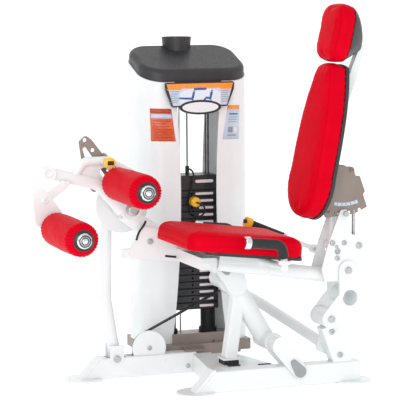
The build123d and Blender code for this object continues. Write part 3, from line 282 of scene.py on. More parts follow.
WHITE = powder_coat("white_powder_coat", tone(235, 239, 240), tone(229, 233, 234))
TAUPE = powder_coat("taupe_powder_coat", tone(146, 133, 124), tone(134, 122, 113), 0.42, tone(190, 184, 178))
SILVER = powder_coat("silver_powder_coat", tone(160, 164, 166), tone(142, 146, 149), 0.36)
RED = vinyl("red_vinyl", tone(216, 3, 33), tone(206, 2, 28))
WELT = vinyl("red_welt", tone(206, 3, 29), tone(194, 2, 24))
CHARCOAL = moulded("charcoal_plastic", tone(47, 46, 49), tone(38, 38, 41), 0.44, coat_weight=0.06,
                   coat_roughness=0.3)
BLACK = moulded("black_plastic", tone(32, 33, 35), tone(22, 23, 25), 0.32, 1200.0, 0.00006, coat_weight=0.3,
                coat_roughness=0.12)
RUBBER = moulded("black_rubber", tone(36, 36, 38), tone(24, 24, 26), 0.62, 500.0, 0.0002)
FOAM = moulded("grip_foam", tone(34, 34, 36), tone(22, 22, 24), 0.7, 380.0, 0.0004, sheen_weight=0.1)
ZINC = metal("zinc_steel", (0.56, 0.58, 0.58, 1.0), (0.44, 0.46, 0.45, 1.0), 0.3)
CHROME = metal("chrome", (0.82, 0.83, 0.84, 1.0), (0.76, 0.77, 0.79, 1.0), 0.06, (1, 1, 1), 0.000006)
STEEL = metal("turned_steel", (0.42, 0.43, 0.44, 1.0), (0.34, 0.35, 0.36, 1.0), 0.24, (1, 1, 1), 0.00001)
# The guide rods are bright ground steel; their dark base colour is a painted dark reflection.
ROD_PAINTED_REFLECTION = metal("rod_painted_reflection", (0.20, 0.20, 0.21, 1.0), (0.13, 0.13, 0.14, 1.0), 0.24, (6, 6, 0.2))
IRON = cast_iron("stack_iron")
YELLOW = moulded("yellow_plastic", tone(252, 196, 44), tone(246, 184, 34), 0.36, 1100.0, 0.00006,
                 coat_weight=0.3, coat_roughness=0.15)
CORD = moulded("cord_jacket", tone(34, 34, 37), tone(24, 24, 27), 0.45, 800.0, 0.0001)
BOARD = printed("white_board", tone(236, 238, 240))
AMBER = printed("amber_print", tone(247, 148, 40))
ORANGE = printed("orange_print", tone(222, 92, 44))
DEEP_ORANGE = printed("deep_orange_print", tone(186, 62, 26))
PALE_BLUE = printed("pale_blue_print", tone(198, 214, 231))
SKY = printed("sky_print", tone(226, 235, 243))
BLUE = printed("blue_print", tone(36, 84, 168))
GREY_INK = printed("grey_print", tone(140, 150, 162))
MARKER = printed("marker_film", tone(246, 232, 234), 0.2)

SLOT_LOOKS = {
    "white_paint": WHITE, "taupe_paint": TAUPE, "silver_cover": SILVER, "charcoal_plastic": CHARCOAL,
    "red_vinyl": RED, "black_rubber": RUBBER, "zinc_steel": ZINC, "chrome": CHROME, "stack_iron": IRON,
    "yellow_plastic": YELLOW, "white_board": BOARD, "cord": CORD,
}
NODE_LOOKS = {
    "guide_rods": ROD_PAINTED_REFLECTION, "head_pulley": BLACK, "belt_pulley_wheel": BLACK, "ankle_core": BLACK,
    "shin_core": BLACK, "lift_cable": CORD, "placard": BLACK,
}


def dress_nodes():
    """Gives every CAD node the look of its slot, or one of its own."""
    for row in frame["record"]["subparts"]:
        node = frame["nodes"][row["node"]]
        look = NODE_LOOKS.get(row["node"], SLOT_LOOKS[row["material_slot"]])
        if not node.material_slots:
            node.data.materials.append(look)
        for place in node.material_slots:
            place.material = look


dress_nodes()


# --- building pieces ----------------------------------------------------------------------------
def put(name, data, body, slot, *looks):
    """Links a new piece, with its materials, and rides it on a body."""
    piece = bpy.data.objects.new(name, data)
    scene.collection.objects.link(piece)
    for look in looks:
        data.materials.append(look)
    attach(piece, body)
    return piece


def smooth(mesh, angle=35.0):
    mesh.shade_smooth()
    mesh.set_sharp_from_angle(angle=radians(angle))


def mesh_of(name, form, angle=35.0):
    """Turns a bmesh into a smooth-shaded mesh."""
    bmesh.ops.recalc_face_normals(form, faces=form.faces)
    mesh = bpy.data.meshes.new(name)
    form.to_mesh(mesh)
    form.free()
    smooth(mesh, angle)
    return mesh


def settle(piece):
    """Applies a piece's modifiers."""
    graph = bpy.context.evaluated_depsgraph_get()
    mesh = bpy.data.meshes.new_from_object(piece.evaluated_get(graph))
    piece.modifiers.clear()
    piece.data = mesh


def points_of(mesh):
    flat = np.zeros(len(mesh.vertices) * 3)
    mesh.vertices.foreach_get("co", flat)
    return flat.reshape(-1, 3)


def normals_of(mesh):
    return np.array([vertex.normal for vertex in mesh.vertices])


def move_points(mesh, points):
    mesh.vertices.foreach_set("co", points.astype(np.float32).ravel())
    mesh.update()


def welded(node):
    """A bmesh copy of a CAD node with its face borders welded."""
    form = bmesh.new()
    form.from_mesh(frame["nodes"][node].data)
    bmesh.ops.remove_doubles(form, verts=form.verts, dist=1e-5)
    return form


def surface_of(node):
    """A tree for casting rays at a CAD node."""
    form = welded(node)
    tree = BVHTree.FromBMesh(form)
    form.free()
    return tree


def islands(node):
    """The separate solids of a CAD node, each as a bmesh of its own."""
    form = welded(node)
    left = set(form.verts)
    found = []
    while left:
        stack = [left.pop()]
        group = set(stack)
        while stack:
            for edge in stack.pop().link_edges:
                for vertex in edge.verts:
                    if vertex in left:
                        left.remove(vertex)
                        group.add(vertex)
                        stack.append(vertex)
        copy = bmesh.new()
        match = {vertex: copy.verts.new(vertex.co) for vertex in sorted(group, key=lambda v: v.index)}
        for face in form.faces:
            if face.verts[0] in group:
                copy.faces.new([match[vertex] for vertex in face.verts])
        found.append(copy)
    form.free()
    return found


def middle(form):
    return sum((vertex.co for vertex in form.verts), Vector()) / len(form.verts)


def lathe(name, profile, centre, axis, segments=96, ripple=None):
    """Turns a profile of (distance, radius) round an axis. ripple changes a radius by its angle and step."""
    forward = Vector(axis).normalized()
    side = forward.orthogonal().normalized()
    across = forward.cross(side)
    form = bmesh.new()
    rings = []
    for step, (distance, radius) in enumerate(profile):
        base = centre + forward * distance
        if radius < 1e-6:
            rings.append([form.verts.new(base)])
            continue
        ring = []
        for index in range(segments):
            angle = 2 * pi * index / segments
            reach = radius + (ripple(angle, step) if ripple else 0.0)
            ring.append(form.verts.new(base + (side * cos(angle) + across * sin(angle)) * reach))
        rings.append(ring)
    for first, second in zip(rings, rings[1:]):
        for index in range(segments):
            follow = (index + 1) % segments
            corners = [first[index % len(first)], first[follow % len(first)],
                       second[follow % len(second)], second[index % len(second)]]
            form.faces.new(list(dict.fromkeys(corners)))
    return mesh_of(name, form)


def tube(name, points, radius, body, slot, look, closed=False):
    """A round section along one smooth NURBS line."""
    curve = bpy.data.curves.new(name, "CURVE")
    curve.dimensions = "3D"
    curve.bevel_depth = radius
    curve.bevel_resolution = 5
    curve.use_fill_caps = not closed
    spline = curve.splines.new("NURBS")
    spline.points.add(len(points) - 1)
    for control, point in zip(spline.points, points):
        control.co = (*point, 1.0)
    spline.use_cyclic_u = closed
    spline.order_u = 3
    spline.use_endpoint_u = not closed
    spline.resolution_u = 12
    return put(name, curve, body, slot, look)


def flat_piece(form, outline, place, lift, look):
    """Adds one raised flat shape to a bmesh. place(x, z, lift) gives its points."""
    top = [form.verts.new(place(x, z, lift)) for x, z in outline]
    foot = [form.verts.new(place(x, z, 0.0)) for x, z in outline]
    faces = [form.faces.new(top)]
    for index in range(len(outline)):
        follow = (index + 1) % len(outline)
        faces.append(form.faces.new([top[index], foot[index], foot[follow], top[follow]]))
    faces.append(form.faces.new(list(reversed(foot))))
    for face in faces:
        face.material_index = look


def rounded(x0, x1, z0, z1, radius, steps=5):
    """A rectangle with round corners."""
    corners = [(x1 - radius, z1 - radius, 0), (x0 + radius, z1 - radius, 1),
               (x0 + radius, z0 + radius, 2), (x1 - radius, z0 + radius, 3)]
    shape = []
    for x, z, quarter in corners:
        for k in range(steps + 1):
            turn = (quarter + k / steps) * pi / 2
            shape.append((x + radius * cos(turn), z + radius * sin(turn)))
    return shape


def round_bar(start, end, radius, steps=7):
    """A straight bar with half-round ends."""
    angle = atan2(end[1] - start[1], end[0] - start[0])
    shape = []
    for centre, first in ((end, -pi / 2), (start, pi / 2)):
        for k in range(steps + 1):
            turn = angle + first + pi * k / steps
            shape.append((centre[0] + radius * cos(turn), centre[1] + radius * sin(turn)))
    return shape


# --- selector lanyard ---------------------------------------------------------------------------
LANYARD_ROUTE = [
    (-0.456, 0.6026, 0.791), (-0.455, 0.571, 0.795), (-0.452, 0.541, 0.776), (-0.458, 0.538, 0.742),
    (-0.466, 0.543, 0.708), (-0.473, 0.544, 0.673), (-0.471, 0.543, 0.640), (-0.460, 0.534, 0.612),
    (-0.438, 0.519, 0.604), (-0.424, 0.500, 0.618), (-0.427, 0.481, 0.642), (-0.442, 0.467, 0.659),
    (-0.456, 0.477, 0.6656), (-0.456, 0.4947, 0.6656),
]
LANYARD_RADIUS = 0.0035


def add_lanyard():
    """The rubber lanyard that keeps the selector pin with the stack."""
    points = [at(*point) for point in LANYARD_ROUTE]
    lanyard = tube("selector_lanyard_cord", points, LANYARD_RADIUS, "selector", "cord", CORD)
    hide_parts("selector_lanyard")


add_lanyard()


# --- studio -------------------------------------------------------------------------------------
def add_area(name, place, target, size, power):
    data = bpy.data.lights.new(name, "AREA")
    data.shape = "RECTANGLE"
    data.size = size[0]
    data.size_y = size[1]
    data.energy = power
    lamp = bpy.data.objects.new(name, data)
    lamp.location = place
    lamp.rotation_mode = "QUATERNION"
    lamp.rotation_quaternion = (Vector(target) - Vector(place)).to_track_quat("-Z", "Y")
    scene.collection.objects.link(lamp)


def add_floor():
    """A pale seamless floor that curves up into a wall far behind."""
    half, front, back, height, bend, steps = 14.0, -12.0, 9.0, 9.0, 3.0, 16
    line = [(front, 0.0)]
    line += [(back - bend + bend * sin(k * pi / 2 / steps), bend - bend * cos(k * pi / 2 / steps))
             for k in range(steps + 1)]
    line.append((back, height))
    form = bmesh.new()
    rows = [[form.verts.new((x, y, z)) for x in (-half, half)] for y, z in line]
    for low, high in zip(rows, rows[1:]):
        form.faces.new([low[0], low[1], high[1], high[0]])
    mesh = mesh_of("studio_floor", form, 60.0)
    finish = Finish("studio_paper", (0.92, 0.92, 0.92, 1.0), 0.9, emission_strength=0.34)
    finish.set("Emission Color", (1.0, 1.0, 1.0, 1.0))
    finish.rough(finish.noise(3.0, 2.0), 0.85, 0.95)
    mesh.materials.append(finish.relief((finish.noise(200.0, 2.0), 0.0001)).material)
    floor = bpy.data.objects.new("studio_floor", mesh)
    scene.collection.objects.link(floor)


def add_studio():
    world = bpy.data.worlds.new("studio")
    world.use_nodes = True
    world.node_tree.nodes["Background"].inputs["Color"].default_value = (1.0, 1.0, 1.0, 1.0)
    world.node_tree.nodes["Background"].inputs["Strength"].default_value = 0.84
    scene.world = world
    scene.view_settings.view_transform = "Standard"
    add_area("key", (-3.0, -2.8, 3.2), (0, 0, 0.7), (2.6, 2.6), 24)
    add_area("fill", (3.6, -3.4, 2.2), (0, 0, 0.7), (2.4, 2.4), 12)
    add_area("front", (-2.2, -5.2, 1.5), (0, 0, 0.7), (3.2, 2.4), 56)
    add_area("top", (0.3, 0.6, 4.6), (0, 0, 0.5), (3.2, 3.2), 3)


add_floor()
add_studio()


# --- cushions -----------------------------------------------------------------------------------
VOXEL = 0.0055
CLOTH_FRAMES = 20


class Pad:
    """A cushion's own axes: along and across its outline, and out from what it rests on."""

    def __init__(self, node, out):
        self.node = node
        self.out = np.array(out)
        self.across = np.array((0.0, 1.0, 0.0))
        self.along = np.cross(self.across, self.out)
        spread = self.flat(np.array([vertex.co for vertex in frame["nodes"][node].data.vertices]))
        self.hull = self.convex(spread[:, :2])
        self.base = spread[:, 2].min()
        self.top = spread[:, 2].max()

    def flat(self, points):
        return np.stack([points @ self.across, points @ self.along, points @ self.out], 1)

    def solid(self, flat):
        return flat[:, :1] * self.across + flat[:, 1:2] * self.along + flat[:, 2:] * self.out

    @staticmethod
    def convex(points):
        """The convex outline of points in a plane, anticlockwise."""
        ordered = sorted({(round(a, 5), round(b, 5)) for a, b in points})

        def half(row):
            line = []
            for point in row:
                while len(line) > 1:
                    (ax, ay), (bx, by) = line[-2], line[-1]
                    if (bx - ax) * (point[1] - ay) - (by - ay) * (point[0] - ax) > 1e-9:
                        break
                    line.pop()
                line.append(point)
            return line[:-1]

        return np.array(half(ordered) + half(reversed(ordered)))

    def inset(self, flat):
        """How far each point lies inside the outline."""
        nearest = np.full(len(flat), 1e9)
        for start, end in zip(self.hull, np.roll(self.hull, -1, 0)):
            run = end - start
            inward = np.array((-run[1], run[0])) / np.linalg.norm(run)
            nearest = np.minimum(nearest, (flat[:, :2] - start) @ inward)
        return nearest

    def loop(self, inset, count=96):
        """Evenly spaced points round the outline, moved inwards."""
        closed = np.vstack([self.hull, self.hull[:1]])
        steps = np.r_[0, np.cumsum(np.linalg.norm(np.diff(closed, axis=0), axis=1))]
        marks = np.linspace(0, steps[-1], count, endpoint=False)
        ring = np.stack([np.interp(marks, steps, closed[:, axis]) for axis in (0, 1)], 1)
        run = np.roll(ring, -2, 0) - np.roll(ring, 2, 0)
        run /= np.linalg.norm(run, axis=1)[:, None]
        return ring + np.stack([-run[:, 1], run[:, 0]], 1) * inset


def remesh(piece, voxel):
    modifier = piece.modifiers.new("remesh", "REMESH")
    modifier.mode = "VOXEL"
    modifier.voxel_size = voxel
    settle(piece)


def inflate(piece, held, pressure, cap):
    """Swells a cushion with cloth simulation. Held points stay, and no point moves further than cap."""
    group = piece.vertex_groups.new(name="held")
    group.add([int(index) for index in np.nonzero(held)[0]], 1.0, "REPLACE")
    start = points_of(piece.data)
    cloth = piece.modifiers.new("cloth", "CLOTH")
    cloth.settings.use_pressure = True
    cloth.settings.uniform_pressure_force = pressure
    cloth.settings.vertex_group_mass = "held"
    cloth.settings.effector_weights.gravity = 0.0
    cloth.settings.quality = 5
    for step in range(1, CLOTH_FRAMES + 1):
        scene.frame_set(step)
    settle(piece)
    scene.frame_set(1)
    drift = points_of(piece.data) - start
    length = np.linalg.norm(drift, axis=1)
    drift *= np.minimum(1.0, cap / np.maximum(length, 1e-9))[:, None]
    move_points(piece.data, start + drift)
    piece.vertex_groups.clear()


def crown(pad, flat, rise, reach):
    """How much each point above the middle of the pad's depth stands out, fading towards the outline."""
    depth = np.clip((flat[:, 2] - pad.base) / (pad.top - pad.base), 0, 1)
    dome = 1 - np.exp(-np.clip(pad.inset(flat), 0, None) / reach)
    return rise * dome * depth ** 2


def rounded_off(piece, pad, passes):
    """Softens a cushion's edges evenly, and keeps its underside where it rests."""
    start = pad.flat(points_of(piece.data))
    modifier = piece.modifiers.new("soften", "SMOOTH")
    modifier.factor = 0.5
    modifier.iterations = passes
    settle(piece)
    flat = pad.flat(points_of(piece.data))
    resting = start[:, 2] < pad.base + 0.002
    flat[resting, 2] = start[resting, 2]
    move_points(piece.data, pad.solid(flat))


def cushion(name, pad, body, rise, reach, shrink, cap, seam_inset, passes):
    """A crowned, swollen cushion with a sewn seam and welt round its face, in place of a plain CAD solid."""
    form = welded(pad.node)
    mesh = mesh_of(name, form, 180.0)
    piece = bpy.data.objects.new(name, mesh)
    scene.collection.objects.link(piece)
    remesh(piece, VOXEL)
    rounded_off(piece, pad, passes)
    points = points_of(piece.data)
    flat = pad.flat(points)
    resting = flat[:, 2] < pad.base + 0.002
    inward = normals_of(piece.data) * shrink
    inward[resting] *= 0.0
    points = points - inward + pad.out * crown(pad, flat, rise, reach)[:, None]
    move_points(piece.data, points)
    inflate(piece, resting, 4.0, cap)
    finer = piece.modifiers.new("finer", "SUBSURF")
    finer.levels = 1
    finer.render_levels = 1
    settle(piece)
    points = points_of(piece.data)
    flat = pad.flat(points)
    high = flat[:, 2] > (pad.base + pad.top) / 2
    off = (pad.inset(flat) - seam_inset) / 0.0035
    groove = np.where(high, 0.0008 * np.exp(-off ** 2), 0.0)
    low_off = (flat[:, 2] - pad.base - 0.010) / 0.003
    groove += np.where(~high & ~(flat[:, 2] < pad.base + 0.003), 0.0006 * np.exp(-low_off ** 2), 0.0)
    move_points(piece.data, points - normals_of(piece.data) * groove[:, None])
    piece.data.materials.clear()
    piece.data.materials.append(RED)
    smooth(piece.data, 180.0)
    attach(piece, body)
    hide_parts(pad.node)
    add_welt(name + "_welt", piece, pad, body, seam_inset)
    return piece


def add_welt(name, piece, pad, body, inset):
    """The piping that lies in the seam round a cushion's face."""
    form = bmesh.new()
    form.from_mesh(piece.data)
    tree = BVHTree.FromBMesh(form)
    form.free()
    ring = pad.loop(inset)
    above = np.column_stack([ring, np.full(len(ring), pad.top + 0.1)])
    line = []
    for point in pad.solid(above):
        hit = tree.ray_cast(Vector(point), Vector(-pad.out))[0]
        if hit is not None:
            line.append(hit + Vector(pad.out) * 0.0001)
    tube(name, line, 0.0011, body, "red_vinyl", WELT, closed=True)


SEAT = Pad("seat_cushion", (sin(SEAT_TILT), 0.0, cos(SEAT_TILT)))
BACK = Pad("backrest_pad", (-cos(BACK_TILT), 0.0, sin(BACK_TILT)))
HEAD = Pad("headrest_pad", (-cos(BACK_TILT), 0.0, sin(BACK_TILT)))
cushion("seat_cover", SEAT, "carriage", 0.006, 0.05, 0.001, 0.004, 0.020, 90)
cushion("backrest_cover", BACK, "backrest", 0.008, 0.05, 0.001, 0.003, 0.014, 26)
cushion("headrest_cover", HEAD, "backrest", 0.006, 0.04, 0.001, 0.003, 0.014, 26)


# --- rollers ------------------------------------------------------------------------------------
PLEATS = 32
RING_RADIUS = 0.0392
SIDE_STEPS = 44
END_STEPS = 30
END_BEND = 0.030             # radius of the rounding between side and end
ROLLER_TAPER = 0.0012        # how much slimmer a roller is at its ends than in its middle
END_DROP = 0.82              # share of the rounding by which the radius falls at the end
PLEATED_SHARE = 0.18         # share of the side, next to the end, into which the pleats reach
SIDE_GATHER = 0.4            # how much of a pleat's depth the side has where the rounding starts
PLEAT_DEPTH = 0.0060
PLEAT_PUFF = 0.0006          # how far the cloth swells between two pleats
RING_FACE = 0.0041           # from the foam's end to the black ring's face


# The bands of a roller's cap from its rim to its middle, as heights above the ring's face and radii. The two
# black bands are painted dark reflections in the chrome cap.
CAP_BANDS = [
    ("chrome", CHROME,
     [(0.0, 0.0290), (0.0065, 0.0290), (0.0095, 0.0279), (0.0124, 0.0254), (0.0141, 0.0226)]),
    # Black band: a painted dark reflection in the chrome.
    ("charcoal_plastic", BLACK, [(0.0141, 0.0226), (0.0144, 0.0212), (0.0144, 0.0190), (0.0148, 0.0182)]),
    ("chrome", STEEL, [(0.0148, 0.0182), (0.0154, 0.0170), (0.0156, 0.0136)]),
    # Black band: a painted dark reflection in the chrome.
    ("charcoal_plastic", BLACK, [(0.0156, 0.0136), (0.0150, 0.0128), (0.0150, 0.0108), (0.0156, 0.0100)]),
    ("chrome", CHROME, [(0.0156, 0.0100), (0.0162, 0.0088), (0.0165, 0.0040), (0.0166, 0.0)]),
]


def roller_profile():
    """Half of a roller's outline as (distance, radius, gather), from its middle to the gathered end."""
    line = []
    slim = ROLLER_RADIUS - ROLLER_TAPER
    reach = ROLLER_HALF - END_BEND
    for k in range(SIDE_STEPS + 1):
        share = k / SIDE_STEPS
        pleated = max(0.0, (share - 1 + PLEATED_SHARE) / PLEATED_SHARE)
        line.append((reach * share, ROLLER_RADIUS - ROLLER_TAPER * share ** 2, pleated ** 2 * SIDE_GATHER))
    for k in range(1, END_STEPS + 1):
        turn = pi / 2 * k / END_STEPS
        radius = slim - END_BEND * END_DROP * (1 - cos(turn))
        gather = SIDE_GATHER + (1 - SIDE_GATHER) * min(1.0, k / END_STEPS * 2.0)
        line.append((reach + END_BEND * sin(turn), radius, gather))
    line.append((ROLLER_HALF - 0.0025, RING_RADIUS - 0.003, 1.0))
    line.append((ROLLER_HALF - 0.012, RING_RADIUS - 0.006, 0.4))
    return line


def roller_cover(name, node, body):
    """A foam roller in a vinyl sleeve that is gathered into small pleats at both ends."""
    low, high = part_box(node)
    centre = (low + high) / 2
    half = roller_profile()
    whole = [(-d, r, g) for d, r, g in reversed(half)] + half[1:]
    shift = rng.uniform(0, 2 * pi, 4)

    def ripple(angle, step):
        distance, _, gather = whole[step]
        side = 0 if distance < 0 else 1
        warp = angle + 0.05 * sin(3 * angle + shift[side]) + 0.03 * sin(7 * angle + shift[side + 2])
        fold = 1 - abs(sin(PLEATS * warp / 2)) ** 0.8
        swell = 0.0006 * sin(2 * angle + shift[0] + distance * 9)
        swell += 0.0004 * sin(5 * angle - distance * 30 + shift[1])
        return swell * (1 - gather) - PLEAT_DEPTH * gather * fold + PLEAT_PUFF * gather

    mesh = lathe(name, [(d, r) for d, r, _ in whole], centre, (0, 1, 0), 384, ripple)
    smooth(mesh, 180.0)
    piece = put(name, mesh, body, "red_vinyl", RED)
    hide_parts(node)
    add_roller_end(name.replace("cover", "end"), centre, body)


def add_roller_end(name, centre, body):
    """The black end ring with its bead, and the chrome cap with two bands coloured black as painted dark
    reflections.
    """
    face = ROLLER_HALF + RING_FACE
    ring = [(face - 0.006, 0.0395), (face - 0.001, 0.0398), (face + 0.0012, 0.0385), (face + 0.0016, 0.036),
            (face + 0.0006, 0.034), (face + 0.0004, 0.029), (face + 0.0002, 0.0255)]
    put(name + "_ring", lathe(name + "_ring", ring, centre, (0, -1, 0)), body, "charcoal_plastic", BLACK)
    for count, (slot, look, rise) in enumerate(CAP_BANDS):
        band = f"{name}_cap_{count}"
        profile = [(face + height, radius) for height, radius in rise]
        put(band, lathe(band, profile, centre, (0, -1, 0)), body, slot, look)


roller_cover("shin_roller_cover", "shin_pad", "shin_roller")
roller_cover("ankle_roller_cover", "ankle_pad", "ankle_roller")


# --- grips, caps and collars --------------------------------------------------------------------
def add_lever_handle():
    """The release lever's yellow end cap, foam grip and chrome collar, in order along the lever."""
    found = sorted(islands("lever_grip"), key=lambda form: middle(form).x)
    rows = [("lever_end_cap", YELLOW, "yellow_plastic"), ("lever_grip_sleeve", FOAM, "black_rubber"),
            ("lever_collar", CHROME, "chrome")]
    for form, (name, look, slot) in zip(found, rows):
        piece = put(name, mesh_of(name, form), "lever", slot, look)
        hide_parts("lever_grip")


add_lever_handle()


def add_handle_grips():
    """The two seat grips, each with a chrome collar at its foot."""
    found = sorted(islands("handle_grips"), key=lambda form: (middle(form).y, -len(form.verts)))
    for index, form in enumerate(found):
        tall = max(vertex.co.z for vertex in form.verts) - min(vertex.co.z for vertex in form.verts)
        look, slot = (CHROME, "chrome") if tall < 0.02 else (FOAM, "black_rubber")
        name = f"handle_{'collar' if look is CHROME else 'grip'}_{index}"
        piece = put(name, mesh_of(name, form), "carriage", slot, look)
        if index == 0:
            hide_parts("handle_grips")


add_handle_grips()


# --- belt and cable -----------------------------------------------------------------------------
BELT_PULLEY = at(-0.702, 0.400, 0.113)
BELT_ANCHOR = at(-0.385, 0.400, 0.326)


def add_belt_run():
    """The flat belt between its pulley and the front link, cut into sixty lengths along its run."""
    form = welded("belt_run")
    run = BELT_ANCHOR - BELT_PULLEY
    for k in range(1, 60):
        bmesh.ops.bisect_plane(form, geom=form.verts[:] + form.edges[:] + form.faces[:],
                               plane_co=BELT_PULLEY + run * (k / 60), plane_no=run)
    mesh = mesh_of("belt_run_strip", form)
    mesh.materials.append(RUBBER)
    piece = bpy.data.objects.new("belt_run_strip", mesh)
    scene.collection.objects.link(piece)
    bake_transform(piece)
    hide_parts("belt_run")


add_belt_run()


def add_lift_cable():
    """The cable down to the stack, as a round line in forty lengths."""
    low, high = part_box("lift_cable")
    middle_x, middle_y = (low.x + high.x) / 2, (low.y + high.y) / 2
    radius = (high.x - low.x) / 2
    length = high.z - low.z
    profile = [(0.0, 0.0), (0.0, radius)]
    profile += [(length * k / 40, radius) for k in range(1, 40)] + [(length, radius), (length, 0.0)]
    mesh = lathe("lift_cable_line", profile, Vector((middle_x, middle_y, low.z)), (0, 0, 1), 24)
    piece = put("lift_cable_line", mesh, "root", "zinc_steel", CORD)
    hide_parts("lift_cable")
    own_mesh(piece)


add_lift_cable()


# --- placard ------------------------------------------------------------------------------------
def add_placard():
    """The exercise placard as plain coloured fields, two simple figures and a blank oval."""
    low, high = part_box("placard")
    middle_x = (low.x + high.x) / 2
    face = low.y

    def place(x, z, lift):
        return (middle_x + x, face - lift, z)

    def trapezium(side_top, side_foot, z_top, z_foot):
        return [(side_top, z_top), (-side_top, z_top), (-side_foot, z_foot), (side_foot, z_foot)]

    form = bmesh.new()
    top = high.z
    black, pale, amber, sky, blue, grey, white = range(7)
    arch = [(0.086 * cos(pi * k / 16), 1.1035 + 0.022 * sin(pi * k / 16)) for k in range(17)]
    flat_piece(form, trapezium(0.140, 0.113, top - 0.005, 1.058), place, 0.0030, pale)
    flat_piece(form, trapezium(0.140, 0.1335, top - 0.005, 1.126), place, 0.0034, amber)
    flat_piece(form, [(-0.139, 1.121), (-0.078, 1.121), (-0.078, 1.126), (-0.1385, 1.126)], place, 0.0034,
               amber)
    flat_piece(form, [(0.085, 1.121), (0.1335, 1.121), (0.1335, 1.126), (0.085, 1.126)], place, 0.0034, amber)
    flat_piece(form, arch + [(-0.086, 1.060), (0.086, 1.060)], place, 0.0038, sky)
    flat_piece(form, rounded(-0.027, 0.027, 1.1185, 1.1275, 0.0044), place, 0.0042, blue)
    for column in (-0.106, 0.107):
        for k in range(6):
            z = 1.1145 - 0.0085 * k
            left, right = column - 0.018, column + 0.018 - 0.004 * (k % 3)
            flat_piece(form, rounded(left, right, z - 0.0011, z + 0.0011, 0.001, 2), place, 0.0040, grey)
    for shift, knee, ankle in ((-0.045, (-0.065, 1.0865), (-0.085, 1.0880)),
                               (0.030, (0.026, 1.088), (0.012, 1.0745))):
        hip, neck = (shift + 0.012, 1.0850), (shift + 0.018, 1.1080)
        head, head_end = (shift + 0.0195, 1.1150), (shift + 0.0196, 1.1152)
        post_top, post_foot = (shift + 0.014, 1.080), (shift + 0.018, 1.064)
        base_left, base_right = (shift - 0.004, 1.064), (shift + 0.030, 1.064)
        for start, end, radius, lift, look in (
                (hip, neck, 0.0048, 0.0044, blue), (hip, knee, 0.0040, 0.0046, blue),
                (knee, ankle, 0.0034, 0.0048, blue), (head, head_end, 0.0045, 0.0046, grey),
                (post_top, post_foot, 0.0030, 0.0042, grey), (base_left, base_right, 0.0022, 0.0042, grey)):
            flat_piece(form, round_bar(start, end, radius), place, lift, look)
    oval = [(cos(2 * pi * k / 64), sin(2 * pi * k / 64)) for k in range(64)]
    flat_piece(form, [(0.088 * x, 1.0505 + 0.029 * z) for x, z in oval], place, 0.0052, black)
    flat_piece(form, [(0.076 * x, 1.0505 + 0.0205 * z) for x, z in oval], place, 0.0060, white)
    piece = put("placard_print", mesh_of("placard_print", form), "root", "white_board",
                BLACK, PALE_BLUE, AMBER, SKY, BLUE, GREY_INK, BOARD)
    bevel = piece.modifiers.new("soft_edges", "BEVEL")
    bevel.width = 0.0002
    bevel.segments = 1


add_placard()


# --- tower labels -------------------------------------------------------------------------------
def label(name, node, corners, layers, looks):
    """A label on the tower's curved side. Layers are (left, right, foot, top, lift, look) as shares."""
    tree = surface_of(node)
    (lx, lz), (rx, rz), (sx, sz), (tx, tz) = corners

    def place(across, up, lift):
        x = (lx + (rx - lx) * across) * (1 - up) + (tx + (sx - tx) * across) * up
        z = (lz + (rz - lz) * across) * (1 - up) + (tz + (sz - tz) * across) * up
        aim = at(x, 0.2, z)
        hit, normal, _, _ = tree.ray_cast(aim, Vector((0, 1, 0)))
        return hit + Vector((normal.x, normal.y, 0)).normalized() * lift * (-1 if normal.y > 0 else 1)

    form = bmesh.new()
    for left, right, foot, top, lift, look in layers:
        count = max(2, int((right - left) * 16))
        rows = [[form.verts.new(place(left + (right - left) * k / count, up, lift)) for k in range(count + 1)]
                for up in (foot, top)]
        for k in range(count):
            face = form.faces.new([rows[0][k], rows[0][k + 1], rows[1][k + 1], rows[1][k]])
            face.material_index = look
    mesh = bpy.data.meshes.new(name)
    bmesh.ops.recalc_face_normals(form, faces=form.faces)
    form.to_mesh(mesh)
    form.free()
    smooth(mesh)
    piece = put(name, mesh, "root", "white_board", *looks)
    film = piece.modifiers.new("film", "SOLIDIFY")
    film.thickness = 0.0003
    film.offset = 0.0
    return piece


PRINT_LINES = [(0.12, 0.88 - 0.1 * (k % 3), 0.10 + 0.085 * k, 0.125 + 0.085 * k, 0.0012, 2) for k in range(7)]
ORANGE_FIELDS = [(0, 1, 0, 1, 0.0006, 0), (0.03, 0.97, 0.70, 0.84, 0.0010, 1),
                 (0.03, 0.97, 0.87, 0.98, 0.0010, 2)]
label("orange_label", "shroud_left",
      [(-0.649, 0.919), (-0.552, 0.916), (-0.5705, 1.046), (-0.652, 1.049)],
      ORANGE_FIELDS + PRINT_LINES,
      [ORANGE, PALE_BLUE, DEEP_ORANGE])
label("blue_label", "shroud_right",
      [(-0.354, 0.918), (-0.2824, 0.916), (-0.278, 1.053), (-0.3316, 1.055)],
      [(0, 1, 0, 1, 0.0006, 0), (0.02, 0.98, 0.88, 0.985, 0.0010, 1), (0.2, 0.85, 0.72, 0.76, 0.001, 2),
       (0.2, 0.85, 0.64, 0.66, 0.001, 3), (0.2, 0.8, 0.57, 0.59, 0.001, 3),
       (0.2, 0.85, 0.5, 0.52, 0.001, 3), (0.25, 0.55, 0.2, 0.36, 0.001, 3),
       (0.65, 0.85, 0.18, 0.38, 0.001, 4), (0.25, 0.8, 0.1, 0.13, 0.001, 3)],
      [PALE_BLUE, AMBER, BLUE, GREY_INK, SKY])


# --- plate markers ------------------------------------------------------------------------------
PLATE_PITCH = 0.0286
FIRST_PLATE_Z = 0.6942       # middle of the plate under the head
HEAD_MARKER_Z = 0.7446
PLATES = 17
LIFTED = 2


